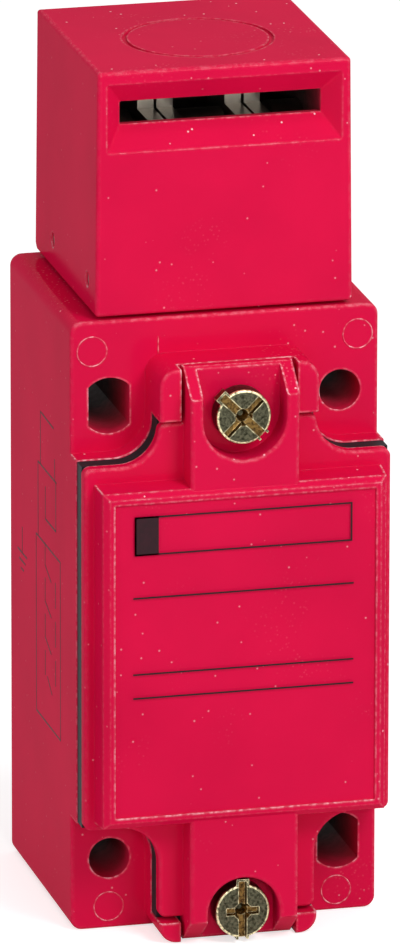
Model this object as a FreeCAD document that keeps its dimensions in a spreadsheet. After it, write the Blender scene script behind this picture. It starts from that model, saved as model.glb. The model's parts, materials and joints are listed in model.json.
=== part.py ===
import FreeCAD, Part
import math
import os

import Sketcher

# Tongue interlock switch: a die-cast box with a turret head that takes the key of a guard.
#
# Frame: +X to the right, +Z up, the front faces -Y. The back face lies in the plane y = 0, and
# the origin is the centre of its four fixing holes. Millimetres. "Forward" counts from the back
# face towards the front, so a thing that is f forward lies at y = -f.

# Driving dimensions. Each becomes one cell of the spreadsheet "dims".
DIMENSIONS = {
    # case casting
    "case_width": 40.0,
    "case_depth": 32.8,         # back face to the corner pads
    "case_top": 41.1,           # top face above the fixing centre
    "case_bottom": 39.4,        # bottom face below the fixing centre
    "case_corner": 1.5,
    "casting_edge": 0.4,        # rounding of the die castings' outer edges
    "back_wall": 5.0,
    "side_wall": 3.4,
    "fixing_width": 30.0,
    "fixing_height": 60.0,
    "fixing_bore": 5.3,
    "fixing_slot": 7.3,
    # raised joint face of the case and the ears beside the cover's tongue
    "rim_height": 3.0,
    "rim_reach": 24.0,
    "neck_width": 20.6,
    "neck_top": 36.4,
    "neck_corner": 2.3,
    "scallop_radius": 5.0,
    "ear_height": 7.9,
    "ear_length": 6.7,
    "foot_length": 2.7,
    "ear_gap": 0.5,
    "ear_flat": 0.4,            # flat left on an ear beside its rounded corner
    "lip_thickness": 1.2,       # wall above the upper end of the gasket
    "lip_gap": 0.1,
    # hollows of the case
    "cavity_height": 40.6,
    "cavity_corner": 1.5,
    "wire_width": 16.6,
    "wire_depth": 7.2,          # height of the wiring space below the contact block
    "entry_radius": 9.53,       # core of the conduit thread
    "entry_forward": 15.6,
    "earth_width": 9.6,
    "earth_height": 6.0,
    "earth_floor": 29.0,
    # cover
    "gasket_thickness": 2.4,
    "gasket_inset": 0.15,
    "skirt_thickness": 1.6,
    "skirt_inset": 0.1,
    "skirt_corner": 1.0,
    "skirt_edge": 0.45,
    "tongue_width": 14.1,
    "tongue_height": 5.4,       # gasket face to the front of the tongue
    "tongue_lift": 0.1,
    "bevel_forward": 4.2,
    "bevel_height": 3.3,
    "panel_margin": 1.3,
    "panel_top": 21.85,
    "panel_bottom": 22.8,
    "panel_wall": 3.55,
    "panel_draft": 4.0,
    "panel_rim": 0.65,
    "panel_rim_draft": 50.0,
    "label_margin": 1.45,
    "label_depth": 0.3,
    "cover_wall": 2.0,
    "upper_screw": 30.3,
    "lower_screw": 35.1,
    "upper_pocket": 5.4,
    "lower_pocket": 4.7,
    "pocket_edge": 0.4,
    "tongue_edge": 0.5,
    # screws
    "cover_thread": 2.0,
    "cover_head": 3.55,
    "cover_head_height": 2.5,
    "cover_thread_length": 12.5,
    "cover_hole": 2.2,          # radius of the clearance holes in cover and gasket
    "cover_lean": 45.0,         # degrees, how far the drive slots are turned
    "tap_room": 0.5,            # left free below the end of a screw
    "head_chamfer": 0.35,
    "seal_washer": 0.5,
    "washer_margin": 0.25,
    "small_thread": 1.5,
    "small_head": 2.75,
    "small_head_height": 1.9,
    "terminal_lean": 30.0,
    "terminal_thread_length": 6.0,
    "drive_width": 1.0,
    "drive_depth": 1.1,
    "screw_fit": 0.05,
    "press_fit": 0.02,
    "overcut": 1.0,             # how far a cut runs past the face that it opens
    # turret between case and head
    "turret_forward": 18.7,
    "spigot_radius": 9.2,
    "spigot_height": 7.8,
    "turret_fit": 0.05,
    "pin_radius": 1.0,
    "pin_height": 4.2,
    "pin_sink": 0.9,            # how far the cross pins reach into the turret's groove
    "pin_play": 0.1,
    "ring_height": 7.0,
    "ring_radius": 0.7,
    # head casting
    "head_gap": 0.45,
    "head_height": 31.75,
    "head_top_width": 32.7,
    "head_bottom_width": 33.35,
    "head_front": 13.95,
    "head_back": 18.6,
    "head_edge": 0.5,
    "head_heel": 1.0,           # chamfer along the head's rear bottom edge
    "head_wall": 3.25,
    "head_side": 3.15,
    "funnel_width": 30.4,
    "funnel_height": 8.95,
    "funnel_drop": 1.65,
    "funnel_depth": 2.4,
    "funnel_corner": 0.35,
    "slot_width": 26.0,
    "slot_height": 2.95,
    "slot_drop": 4.45,
    "badge_radius": 9.6,
    "badge_width": 0.6,
    "badge_depth": 0.3,
    "pin_recess": 0.35,         # how far the cross pins end below the head's sides
    # cam
    "cam_height": 18.4,         # case top to the cam's axle
    "cam_travel": 60.0,         # degrees
    "lobe_base_radius": 3.4,    # base circle of the involute lobe, its lift per radian
    "cam_reach": 8.2,           # axle to the follower with the tongue withdrawn
    "cam_gap": 0.05,
    "lobe_width": 6.0,
    "disc_radius": 9.0,
    "disc_width": 2.1,
    "disc_gap": 0.4,
    "disc_place": 5.68,         # middle of each pair of discs
    "disc_notch": 5.1,
    "disc_set_back": 0.5,
    "hub_radius": 3.6,
    "axle_radius": 2.0,
    "axle_fit": 0.05,
    "cheek_width": 4.0,
    "cheek_radius": 4.9,
    "cheek_crown": 0.05,        # flat left on top of each rounded cheek
    "cradle_rise": 0.6,         # the cradle's base above the end of the turret
    "cradle_play": 0.1,
    "side_play": 0.3,
    # plunger
    "stem_radius": 2.5,
    "stem_fit": 0.05,
    "follower_width": 5.8,
    "follower_length": 10.0,
    "follower_height": 1.6,
    "seal_radius": 3.6,
    "seal_height": 2.0,
    "seal_depth": 7.0,
    "spring_bore": 4.4,
    "spring_radius": 3.75,
    "spring_wire": 0.35,
    "spring_turns": 4.0,
    # contact block
    "block_play": 0.25,
    "block_front": 26.5,
    "shelf_front": 19.0,
    "tower_inset": 8.85,        # width of the terminal shelf on each side
    "tower_wall": 2.3,
    "channel_floor": 9.0,
    "window_floor": 10.5,
    "window_play": 0.4,
    "carrier_play": 0.2,
    "carrier_set_back": 0.5,
    "carrier_top": 15.5,
    "carrier_bottom": 13.5,
    "pole_margin": 4.3,         # left free above the upper pole and below the lower one
    "bay_wall": 1.2,
    "bridge_reach": 2.5,        # how far a bridge stands out of the tower on each side
    "bridge_drop": 1.2,
    "bridge_width": 5.0,
    "bridge_thickness": 0.8,
    "contact_gap": 0.05,
    "strip_clearance": 0.15,
    "strip_thickness": 1.0,
    "strip_play": 0.6,
    "terminal_inset": 3.45,
    "clamp_width": 5.2,
    "clamp_thickness": 1.0,
    "block_screw_side": 3.15,
    "block_screw_end": 3.05,
    "block_tap_depth": 3.75,
    "block_lean": 25.0,
    "land_play": 0.3,
    "carrier_spring_radius": 2.6,
    "carrier_spring_turns": 4.0,
}


class Size:
    """A length that knows its value and the spreadsheet formula it comes from."""

    def __init__(self, value, formula):
        self.value = value
        self.formula = formula

    def __add__(self, other):
        return combine(self, "+", other)

    def __radd__(self, other):
        return combine(other, "+", self)

    def __sub__(self, other):
        return combine(self, "-", other)

    def __rsub__(self, other):
        return combine(other, "-", self)

    def __mul__(self, other):
        return combine(self, "*", other)

    def __rmul__(self, other):
        return combine(other, "*", self)

    def __truediv__(self, other):
        return combine(self, "/", other)

    def __neg__(self):
        return Size(-self.value, f"-({self.formula})")


RULES = {
    "+": lambda left, right: left + right,
    "-": lambda left, right: left - right,
    "*": lambda left, right: left * right,
    "/": lambda left, right: left / right,
}


def as_size(number):
    return number if isinstance(number, Size) else Size(float(number), repr(float(number)))


def combine(left, sign, right):
    left, right = as_size(left), as_size(right)
    return Size(RULES[sign](left.value, right.value), f"({left.formula} {sign} {right.formula})")


def smaller(left, right):
    """The smaller of two sizes, as a formula too."""
    left, right = as_size(left), as_size(right)
    return Size(min(left.value, right.value), f"min({left.formula}; {right.formula})")


class Sheet:
    """The spreadsheet of driving dimensions, read as named sizes."""

    def __init__(self, document, dimensions):
        table = document.addObject("Spreadsheet::Sheet", "dims")
        for row, (name, number) in enumerate(dimensions.items(), start=1):
            table.set(f"A{row}", str(number))
            table.setAlias(f"A{row}", name)
            setattr(self, name, Size(number, f"dims.{name}"))


doc = FreeCAD.newDocument("tongue_interlock_switch")
dims = Sheet(doc, DIMENSIONS)
doc.recompute()


# ---------------------------------------------------------------- helpers for all pieces

def bind(thing, path, size):
    """Drives one property of a document object from the spreadsheet."""
    thing.setExpression(path, as_size(size).formula)


def new_body(label):
    body = doc.addObject("PartDesign::Body", label)
    body.Label = label
    return body


def new_sketch(body, name, plane, height=0, along=0, up=0):
    """A sketch on one of the body's own origin planes, lifted off it by `height`."""
    sketch = body.newObject("Sketcher::SketchObject", name)
    support = next(item for item in body.Origin.OriginFeatures if item.Role == plane)
    sketch.AttachmentSupport = [(support, "")]
    sketch.MapMode = "FlatFace"
    bind(sketch, "AttachmentOffset.Base.x", along)
    bind(sketch, "AttachmentOffset.Base.y", up)
    bind(sketch, "AttachmentOffset.Base.z", height)
    return sketch


def front_sketch(body, name, forward=0):
    """Seen from the front: X to the right, Z up, its normal pointing forward."""
    return new_sketch(body, name, "XZ_Plane", forward)


def plan_sketch(body, name, height=0):
    """Seen from above, at one height: X to the right, Y to the back."""
    return new_sketch(body, name, "XY_Plane", height)


def side_sketch(body, name, right=0, along=0, up=0):
    """Seen from the right: Y to the right, Z up, moved along Y and up if asked."""
    return new_sketch(body, name, "YZ_Plane", right, along, up)


def drive(sketch, constraint, size):
    index = sketch.addConstraint(constraint)
    name = f"size{index}"
    sketch.renameConstraint(index, name)
    bind(sketch, f"Constraints.{name}", size)


def pin_point(sketch, item, vertex, across, up):
    """Fixes one point of a sketch at two sizes from the sketch's origin."""
    across, up = as_size(across), as_size(up)
    for kind, size in (("DistanceX", across), ("DistanceY", up)):
        drive(sketch, Sketcher.Constraint(kind, -1, 1, item, vertex, size.value), size)


def draw_polygon(sketch, corners):
    corners = [(as_size(across), as_size(up)) for across, up in corners]
    points = [FreeCAD.Vector(across.value, up.value, 0) for across, up in corners]
    first = sketch.GeometryCount
    for number, point in enumerate(points):
        sketch.addGeometry(Part.LineSegment(point, points[(number + 1) % len(points)]))
    for number in range(len(points)):
        following = first + (number + 1) % len(points)
        sketch.addConstraint(Sketcher.Constraint("Coincident", first + number, 2, following, 1))
    for number, (across, up) in enumerate(corners):
        pin_point(sketch, first + number, 1, across, up)


def draw_box(sketch, left, right, low, high):
    draw_polygon(sketch, [(left, low), (right, low), (right, high), (left, high)])


def draw_circle(sketch, across, up, radius):
    across, up, radius = as_size(across), as_size(up), as_size(radius)
    centre = FreeCAD.Vector(across.value, up.value, 0)
    item = sketch.addGeometry(Part.Circle(centre, FreeCAD.Vector(0, 0, 1), radius.value))
    pin_point(sketch, item, 3, across, up)
    drive(sketch, Sketcher.Constraint("Radius", item, radius.value), radius)


def draw_flat_sided_hole(sketch, across, up, radius, half_width):
    """A round hole with two upright flats."""
    centre = FreeCAD.Vector(across.value, up.value, 0)
    circle = Part.Circle(centre, FreeCAD.Vector(0, 0, 1), radius.value)
    lean = math.acos(half_width.value / radius.value)
    rise = radius.value * math.sin(lean)
    top = sketch.addGeometry(Part.ArcOfCircle(circle, lean, math.pi - lean))
    bottom = sketch.addGeometry(Part.ArcOfCircle(circle, math.pi + lean, -lean))
    flats = []
    for side in (-1, 1):
        low = FreeCAD.Vector(across.value + side * half_width.value, up.value - rise, 0)
        high = FreeCAD.Vector(across.value + side * half_width.value, up.value + rise, 0)
        flats.append(sketch.addGeometry(Part.LineSegment(low, high)))
    left, right = flats
    for item, vertex, other, end in ((top, 1, right, 2), (top, 2, left, 2),
                                     (bottom, 1, left, 1), (bottom, 2, right, 1)):
        sketch.addConstraint(Sketcher.Constraint("Coincident", item, vertex, other, end))
    sketch.addConstraint(Sketcher.Constraint("Coincident", top, 3, bottom, 3))
    pin_point(sketch, top, 3, across, up)
    for item in (top, bottom):
        drive(sketch, Sketcher.Constraint("Radius", item, radius.value), radius)
    for item, side in ((left, across - half_width), (right, across + half_width)):
        sketch.addConstraint(Sketcher.Constraint("Vertical", item))
        drive(sketch, Sketcher.Constraint("DistanceX", -1, 1, item, 1, side.value), side)


def pad(body, name, sketch, length, both_ways=False, taper=None):
    feature = body.newObject("PartDesign::Pad", name)
    feature.Profile = sketch
    feature.Midplane = both_ways
    bind(feature, "Length", length)
    if taper is not None:
        bind(feature, "TaperAngle", taper)
    sketch.Visibility = False
    doc.recompute()
    return feature


def cut(body, name, sketch, depth, forward=False, both_ways=False):
    """A pocket of one depth, backward from its sketch unless `forward`; it has to cut something."""
    before = body.Shape.Volume
    feature = body.newObject("PartDesign::Pocket", name)
    feature.Profile = sketch
    feature.Reversed = forward
    feature.Midplane = both_ways
    bind(feature, "Length", depth)
    doc.recompute()
    if not body.Shape.Volume < before:
        raise RuntimeError(f"{body.Label}: {name} cuts nothing")
    return feature


def turn(body, name, kind, sketch):
    """A revolved feature about the upright axis of its sketch."""
    feature = body.newObject(f"PartDesign::{kind}", name)
    feature.Profile = sketch
    feature.ReferenceAxis = (sketch, ["V_Axis"])
    feature.Angle = 360.0
    doc.recompute()
    return feature


NEAR = 0.02         # how close an edge's middle lies to the place that picks it


def edges_along(body, direction, places, span=None):
    """Names of the straight edges along X, Y or Z that run through one of the given places.

    A place gives the two other coordinates, in X, Y, Z order. `span` keeps only edges whose
    middle lies between two values along the direction.
    """
    main = "XYZ".index(direction)
    others = [axis for axis in range(3) if axis != main]
    names = []
    for number, edge in enumerate(body.Shape.Edges, start=1):
        if edge.Curve.TypeId != "Part::GeomLine" or abs(abs(edge.Curve.Direction[main]) - 1) > 1e-6:
            continue
        middle = edge.CenterOfMass
        if span and not span[0] <= middle[main] <= span[1]:
            continue
        if any(all(abs(middle[axis] - as_size(size).value) < NEAR
                   for axis, size in zip(others, place)) for place in places):
            names.append(f"Edge{number}")
    return names


def edges_at(body, points):
    """Names of the edges whose middle lies at one of the given points, in X, Y, Z order."""
    wanted = [FreeCAD.Vector(*(as_size(size).value for size in point)) for point in points]
    return [f"Edge{number}" for number, edge in enumerate(body.Shape.Edges, start=1)
            if any(edge.CenterOfMass.distanceToPoint(point) < NEAR for point in wanted)]


def soften(body, name, kind, size, edges):
    """A fillet or chamfer on named edges of the body as it stands."""
    if not edges:
        raise RuntimeError(f"{body.Label}: {name} finds no edge")
    base = body.Tip
    feature = body.newObject(f"PartDesign::{kind}", name)
    feature.Base = (base, edges)
    bind(feature, "Radius" if kind == "Fillet" else "Size", size)
    doc.recompute()
    return feature


COIL_STEPS = 16     # straight runs in one turn of a spring
MITRED = 1          # how the runs of a spring meet
SLOT_REACHES = (2.2, 1.3)       # lengths of a screw's slot and its cross arm, in head radii
LOBE_STEPS = 16     # runs of the curve through points of the involute
LOBE_OVERRUN = math.radians(2.0)        # the involute goes on this far past the cam's travel

AXES = {
    "X": FreeCAD.Rotation(FreeCAD.Vector(0, 1, 0), 90),
    "-Y": FreeCAD.Rotation(FreeCAD.Vector(1, 0, 0), 90),
    "Z": FreeCAD.Rotation(),
}


def place(thing, right, forward, up, axis="Z"):
    thing.Placement = FreeCAD.Placement(FreeCAD.Vector(), AXES[axis])
    bind(thing, "Placement.Base.x", right)
    bind(thing, "Placement.Base.y", -as_size(forward))
    bind(thing, "Placement.Base.z", up)


def cylinder(name, radius, length, right, forward, up, axis="Z"):
    """A Part cylinder that starts at a point and grows along X, -Y (forward) or Z."""
    solid = doc.addObject("Part::Cylinder", name)
    bind(solid, "Radius", radius)
    bind(solid, "Height", length)
    place(solid, right, forward, up, axis)
    return solid


def block(name, width, depth, height, right, forward, up):
    """A Part box centred on X, growing backward from `forward` and up from `up`."""
    solid = doc.addObject("Part::Box", name)
    bind(solid, "Length", width)
    bind(solid, "Width", depth)
    bind(solid, "Height", height)
    place(solid, right - as_size(width) / 2, forward, up)
    return solid


def join(name, solids):
    fused = doc.addObject("Part::MultiFuse", name)
    fused.Shapes = solids
    return fused


def subtract(name, base, tool):
    result = doc.addObject("Part::Cut", name)
    result.Base = base
    result.Tool = tool
    return result


def group(label, solids):
    """One node of several separate solids."""
    compound = doc.addObject("Part::Compound", label)
    compound.Label = label
    compound.Links = solids
    return compound


def screw(name, right, up, seat, thread, length, head, head_height, drive_turn):
    """A cheese-head screw seen from the front, with a cross recess and a full-width slot."""
    shank = cylinder(f"{name}_shank", thread, length, right, seat - length, up, "-Y")
    wall = head_height - dims.head_chamfer
    cap = cylinder(f"{name}_cap", head, wall, right, seat, up, "-Y")
    crown = doc.addObject("Part::Cone", f"{name}_crown")
    bind(crown, "Radius1", head)
    bind(crown, "Radius2", head - dims.head_chamfer)
    bind(crown, "Height", dims.head_chamfer)
    place(crown, right, seat + wall, up, "-Y")
    solid = join(f"{name}_blank", [shank, cap, crown])
    slots = []
    for number, reach in enumerate(head * share for share in SLOT_REACHES):
        slot = doc.addObject("Part::Box", f"{name}_slot{number}")
        bind(slot, "Length", reach)
        bind(slot, "Width", dims.drive_depth)
        bind(slot, "Height", dims.drive_width)
        centre = doc.addObject("Part::Compound", f"{name}_drive{number}")
        bind(slot, "Placement.Base.x", -reach / 2)
        bind(slot, "Placement.Base.z", -dims.drive_width / 2)
        centre.Links = [slot]
        lean = FreeCAD.Rotation(FreeCAD.Vector(0, 1, 0), drive_turn + 90.0 * number)
        centre.Placement = FreeCAD.Placement(FreeCAD.Vector(), lean)
        bind(centre, "Placement.Base.x", right)
        bind(centre, "Placement.Base.y", -(seat + head_height))
        bind(centre, "Placement.Base.z", up)
        slots.append(centre)
    return subtract(name, solid, join(f"{name}_recess", slots))


def coil(label, radius, wire, turns, foot, height, forward):
    """A compression spring of round wire that stands between two flat seats."""
    rise = height.value - 2 * wire.value
    steps = round(turns.value * COIL_STEPS)
    points = []
    for step in range(steps + 1):
        angle = 2 * math.pi * step / COIL_STEPS
        points.append(FreeCAD.Vector(radius.value * math.cos(angle),
                                     radius.value * math.sin(angle), rise * step / steps))
    section = Part.Wire(Part.makeCircle(wire.value, points[0], points[1] - points[0]))
    spring = doc.addObject("Part::Feature", label)
    spring.Shape = Part.makePolygon(points).makePipeShell([section], True, False, MITRED)
    spring.Label = label
    base = FreeCAD.Vector(0, -forward.value, foot.value + wire.value)
    spring.Placement = FreeCAD.Placement(base, FreeCAD.Rotation())
    return spring


# ---------------------------------------------------------------- levels shared by the pieces

half_width = dims.case_width / 2
neck = dims.neck_width / 2
rim_front = dims.case_depth + dims.rim_height
ear_front = dims.case_depth + dims.ear_height
gasket_front = rim_front + dims.gasket_thickness
skirt_front = gasket_front + dims.skirt_thickness
tongue_front = gasket_front + dims.tongue_height
cavity_half = half_width - dims.side_wall
cavity_top = dims.cavity_height / 2
wire_bottom = cavity_top + dims.wire_depth
ear_inside = dims.tongue_width / 2 + dims.ear_gap

turret_y = -dims.turret_forward
spigot_top = dims.case_top + dims.spigot_height
head_bottom = dims.case_top + dims.head_gap
head_top = head_bottom + dims.head_height
head_front = dims.turret_forward + dims.head_front
head_back = dims.turret_forward - dims.head_back
pin_height = dims.case_top + dims.pin_height
pin_place = dims.spigot_radius - dims.pin_sink + dims.pin_radius
chamber_half = dims.head_top_width / 2 - dims.head_side
chamber_front = head_front - dims.head_wall
chamber_back = head_back + dims.head_wall
chamber_top = head_top - dims.head_wall
cradle_top = spigot_top + dims.cradle_rise

cam_z = dims.case_top + dims.cam_height
follower_top = cam_z - dims.cam_reach - dims.cam_gap
follower_bottom = follower_top - dims.follower_height
cam_lift = dims.lobe_base_radius * dims.cam_travel * (math.pi / 180)
cheek_inside = chamber_half - dims.cradle_play - dims.cheek_width
stem_bore = dims.stem_radius + dims.stem_fit
spring_seat = spigot_top - dims.seal_depth

block_half = cavity_half - dims.block_play
block_top = cavity_top - dims.block_play
block_back = dims.back_wall
tower_half = block_half - dims.tower_inset
channel_half = tower_half - dims.tower_wall
bridge_half = tower_half + dims.bridge_reach
pole_pitch = (block_top - dims.pole_margin) * 2 / 3
terminal_place = block_half - dims.terminal_inset
block_screw_x = block_half - dims.block_screw_side
block_screw_z = block_top - dims.block_screw_end
bridge_forward = (dims.channel_floor + dims.shelf_front) / 2
strip_room = dims.strip_thickness + dims.strip_clearance


def rim_outline(wide, narrow, reach, top, bottom):
    """The cross-shaped outline of the joint between case and cover, seen from the front."""
    return [
        (-wide, -reach), (-narrow, -reach), (-narrow, -bottom), (narrow, -bottom),
        (narrow, -reach), (wide, -reach), (wide, reach), (narrow, reach),
        (narrow, top), (-narrow, top), (-narrow, reach), (-wide, reach),
    ]


def four_ways(across, low, high):
    return [(side * across, height) for side in (-1, 1) for height in (low, high)]


# ---------------------------------------------------------------- case and its fittings

def make_case():
    body = new_body("case")
    shell = front_sketch(body, "case_outline")
    draw_box(shell, -half_width, half_width, -dims.case_bottom, dims.case_top)
    pad(body, "case_box", shell, dims.case_depth)
    corners = four_ways(half_width, -dims.case_bottom, dims.case_top)
    soften(body, "case_corners", "Fillet", dims.case_corner, edges_along(body, "Y", corners))

    rim = front_sketch(body, "rim_outline", dims.case_depth)
    outline = rim_outline(half_width, neck, dims.rim_reach, dims.neck_top, dims.case_bottom)
    draw_polygon(rim, outline)
    pad(body, "rim", rim, dims.rim_height)

    ears = front_sketch(body, "ear_outlines", rim_front)
    for side in (-1, 1):
        inner, outer = sorted((side * ear_inside, side * neck), key=lambda size: size.value)
        draw_box(ears, inner, outer, dims.neck_top - dims.ear_length, dims.neck_top)
        draw_box(ears, inner, outer, -dims.case_bottom, dims.foot_length - dims.case_bottom)
    pad(body, "ears", ears, dims.ear_height - dims.rim_height)
    lip = front_sketch(body, "lip_outline", rim_front)
    draw_box(lip, -ear_inside, ear_inside, dims.neck_top - dims.lip_thickness, dims.neck_top)
    pad(body, "lip", lip, dims.gasket_thickness - dims.lip_gap)

    scallops = four_ways(neck, -dims.rim_reach, dims.rim_reach)
    soften(body, "scallops", "Fillet", dims.scallop_radius, edges_along(body, "Y", scallops))
    ear_corner = smaller(dims.neck_corner, neck - ear_inside - dims.ear_flat)
    shoulders = [(-neck, dims.neck_top), (neck, dims.neck_top)]
    soften(body, "shoulders", "Fillet", ear_corner, edges_along(body, "Y", shoulders))
    feet = [(-neck, -dims.case_bottom), (neck, -dims.case_bottom)]
    soften(body, "feet", "Fillet", ear_corner, edges_along(body, "Y", feet))
    flange = [(-dims.case_depth, dims.case_top), (-dims.case_depth, -dims.case_bottom)]
    soften(body, "flange_edges", "Fillet", dims.casting_edge, edges_along(body, "X", flange))
    ear_ends = [(-ear_front, dims.neck_top), (-ear_front, -dims.case_bottom)]
    soften(body, "ear_edges", "Fillet", dims.casting_edge, edges_along(body, "X", ear_ends))

    add_spigot(body)
    cut_hollows(body)
    cut_holes(body)
    return body


def add_spigot(body):
    """The turret: a turned boss with one groove for the cross pins and one for the seal ring."""
    profile = side_sketch(body, "spigot_profile", along=turret_y, up=dims.case_top)
    groove_radius = dims.spigot_radius - dims.pin_sink - dims.pin_play
    groove_half = dims.pin_radius + dims.pin_play
    ring_floor = dims.spigot_radius - 2 * dims.ring_radius + dims.pin_play
    draw_polygon(profile, [
        (0, -dims.overcut),
        (dims.spigot_radius, -dims.overcut),
        (dims.spigot_radius, dims.pin_height - groove_half),
        (groove_radius, dims.pin_height - groove_half),
        (groove_radius, dims.pin_height + groove_half),
        (dims.spigot_radius, dims.pin_height + groove_half),
        (dims.spigot_radius, dims.ring_height - dims.ring_radius),
        (ring_floor, dims.ring_height - dims.ring_radius),
        (ring_floor, dims.spigot_height),
        (0, dims.spigot_height),
    ])
    turn(body, "spigot", "Revolution", profile)
    bore = side_sketch(body, "plunger_bore_profile", along=turret_y)
    draw_polygon(bore, [
        (0, cavity_top - dims.overcut),
        (stem_bore, cavity_top - dims.overcut),
        (stem_bore, spring_seat - dims.seal_height),
        (dims.seal_radius, spring_seat - dims.seal_height),
        (dims.seal_radius, spring_seat),
        (dims.spring_bore, spring_seat),
        (dims.spring_bore, spigot_top + dims.overcut),
        (0, spigot_top + dims.overcut),
    ])
    turn(body, "plunger_bore", "Groove", bore)


def cut_hollows(body):
    cavity = front_sketch(body, "cavity_outline", rim_front)
    draw_box(cavity, -cavity_half, cavity_half, -cavity_top, cavity_top)
    cut(body, "cavity", cavity, rim_front - dims.back_wall)
    corners = four_ways(cavity_half, -cavity_top, cavity_top)
    soften(body, "cavity_corners", "Fillet", dims.cavity_corner, edges_along(body, "Y", corners))
    wires = front_sketch(body, "wire_space_outline", rim_front)
    draw_box(wires, -dims.wire_width / 2, dims.wire_width / 2, -wire_bottom, dims.overcut - cavity_top)
    cut(body, "wire_space", wires, rim_front - dims.back_wall)
    earth = front_sketch(body, "earth_shelf_outline", rim_front)
    shelf_top = cavity_top + dims.earth_height
    draw_box(earth, -dims.earth_width / 2, dims.earth_width / 2, cavity_top - dims.overcut, shelf_top)
    cut(body, "earth_shelf", earth, rim_front - dims.earth_floor)
    entry = plan_sketch(body, "cable_entry_outline", -dims.case_bottom)
    draw_circle(entry, 0, -dims.entry_forward, dims.entry_radius)
    cut(body, "cable_entry", entry, dims.case_bottom - wire_bottom, forward=True)


def cut_holes(body):
    right, up = dims.fixing_width / 2, dims.fixing_height / 2
    rounds = front_sketch(body, "round_fixings")
    for side in (-1, 1):
        draw_circle(rounds, side * right, side * up, dims.fixing_bore / 2)
    cut(body, "round_fixing_holes", rounds, dims.case_depth + dims.overcut, forward=True)
    slots = front_sketch(body, "long_fixings")
    for side in (-1, 1):
        place_x, place_z = side * right, -side * up
        draw_flat_sided_hole(slots, place_x, place_z, dims.fixing_slot / 2, dims.fixing_bore / 2)
    cut(body, "long_fixing_holes", slots, dims.case_depth + dims.overcut, forward=True)
    taps = front_sketch(body, "cover_taps", rim_front)
    thread = dims.cover_thread + dims.screw_fit
    draw_circle(taps, 0, dims.upper_screw, thread)
    draw_circle(taps, 0, -dims.lower_screw, thread)
    tap_depth = dims.cover_thread_length - (skirt_front - rim_front) + dims.tap_room
    cut(body, "cover_tap_holes", taps, tap_depth)
    earth = front_sketch(body, "earth_tap", dims.earth_floor)
    draw_circle(earth, 0, cavity_top + dims.earth_height / 2, dims.small_thread + dims.press_fit)
    cut(body, "earth_tap_hole", earth, dims.terminal_thread_length + dims.tap_room)
    block_taps = front_sketch(body, "block_taps", dims.back_wall)
    for side in (-1, 1):
        draw_circle(block_taps, side * block_screw_x, side * block_screw_z,
                    dims.small_thread + dims.press_fit)
    cut(body, "block_tap_holes", block_taps, dims.block_tap_depth)


def make_case_fittings():
    seal = new_body("plunger_seal")
    profile = side_sketch(seal, "seal_profile", along=turret_y, up=spring_seat)
    inside = dims.stem_radius + dims.stem_fit
    draw_box(profile, inside, dims.seal_radius, -dims.seal_height, 0)
    turn(seal, "seal", "Revolution", profile)
    ring = doc.addObject("Part::Torus", "turret_ring")
    ring.Label = "turret_ring"
    bind(ring, "Radius1", dims.spigot_radius - dims.ring_radius)
    bind(ring, "Radius2", dims.ring_radius - dims.pin_play)
    place(ring, 0, dims.turret_forward, dims.case_top + dims.ring_height)
    earth_z = cavity_top + dims.earth_height / 2
    clamp = block("earth_plate", dims.clamp_width, dims.clamp_thickness, dims.clamp_width, 0,
                  dims.earth_floor + dims.clamp_thickness, earth_z - dims.clamp_width / 2)
    hole = cylinder("earth_plate_hole", dims.small_thread + dims.press_fit,
                    dims.clamp_thickness + 2 * dims.overcut, 0, dims.earth_floor - dims.overcut,
                    earth_z, "-Y")
    washer = subtract("earth_clamp", clamp, hole)
    washer.Label = "earth_clamp"
    bolt = screw("earth_screw", as_size(0), earth_z, dims.earth_floor + dims.clamp_thickness,
                 dims.small_thread, dims.terminal_thread_length, dims.small_head,
                 dims.small_head_height, DIMENSIONS["terminal_lean"])
    bolt.Label = "earth_screw"
    return [seal, ring, washer, bolt]


# ---------------------------------------------------------------- cover, gasket and its screws

def make_gasket():
    body = new_body("cover_gasket")
    wide = half_width - dims.gasket_inset
    narrow = neck - dims.gasket_inset
    slim = ear_inside - dims.gasket_inset
    reach = dims.rim_reach - dims.gasket_inset
    ear_low = dims.neck_top - dims.ear_length - dims.gasket_inset
    foot_top = dims.case_bottom - dims.foot_length - dims.gasket_inset
    outline = front_sketch(body, "gasket_outline", rim_front)
    draw_polygon(outline, rim_outline(wide, narrow, reach, ear_low, foot_top))
    pad(body, "gasket", outline, dims.gasket_thickness)
    strip = front_sketch(body, "gasket_tongue", rim_front)
    draw_box(strip, -slim, slim, dims.gasket_inset - dims.case_bottom,
             dims.neck_top - dims.lip_thickness - dims.gasket_inset)
    pad(body, "gasket_ends", strip, dims.gasket_thickness)
    scallops = four_ways(narrow, -reach, reach)
    soften(body, "gasket_scallops", "Fillet", dims.scallop_radius,
           edges_along(body, "Y", scallops))
    inner = front_sketch(body, "gasket_opening", gasket_front)
    draw_inner_opening(inner)
    cut(body, "gasket_hole", inner, dims.gasket_thickness)
    add_screw_holes(body, gasket_front, dims.gasket_thickness)
    return body


def draw_inner_opening(sketch):
    """The mouth of the case's hollows: the main chamber, the earth shelf and the wire space."""
    side, top = cavity_half, cavity_top
    upper, lower = dims.earth_width / 2, dims.wire_width / 2
    high, low = cavity_top + dims.earth_height, wire_bottom
    draw_polygon(sketch, [
        (-side, -top), (-lower, -top), (-lower, -low), (lower, -low), (lower, -top),
        (side, -top), (side, top), (upper, top), (upper, high), (-upper, high),
        (-upper, top), (-side, top),
    ])


def add_screw_holes(body, front, depth):
    holes = front_sketch(body, f"{body.Label}_screw_circles", front)
    draw_circle(holes, 0, dims.upper_screw, dims.cover_hole)
    draw_circle(holes, 0, -dims.lower_screw, dims.cover_hole)
    cut(body, f"{body.Label}_screw_holes", holes, depth)


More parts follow.
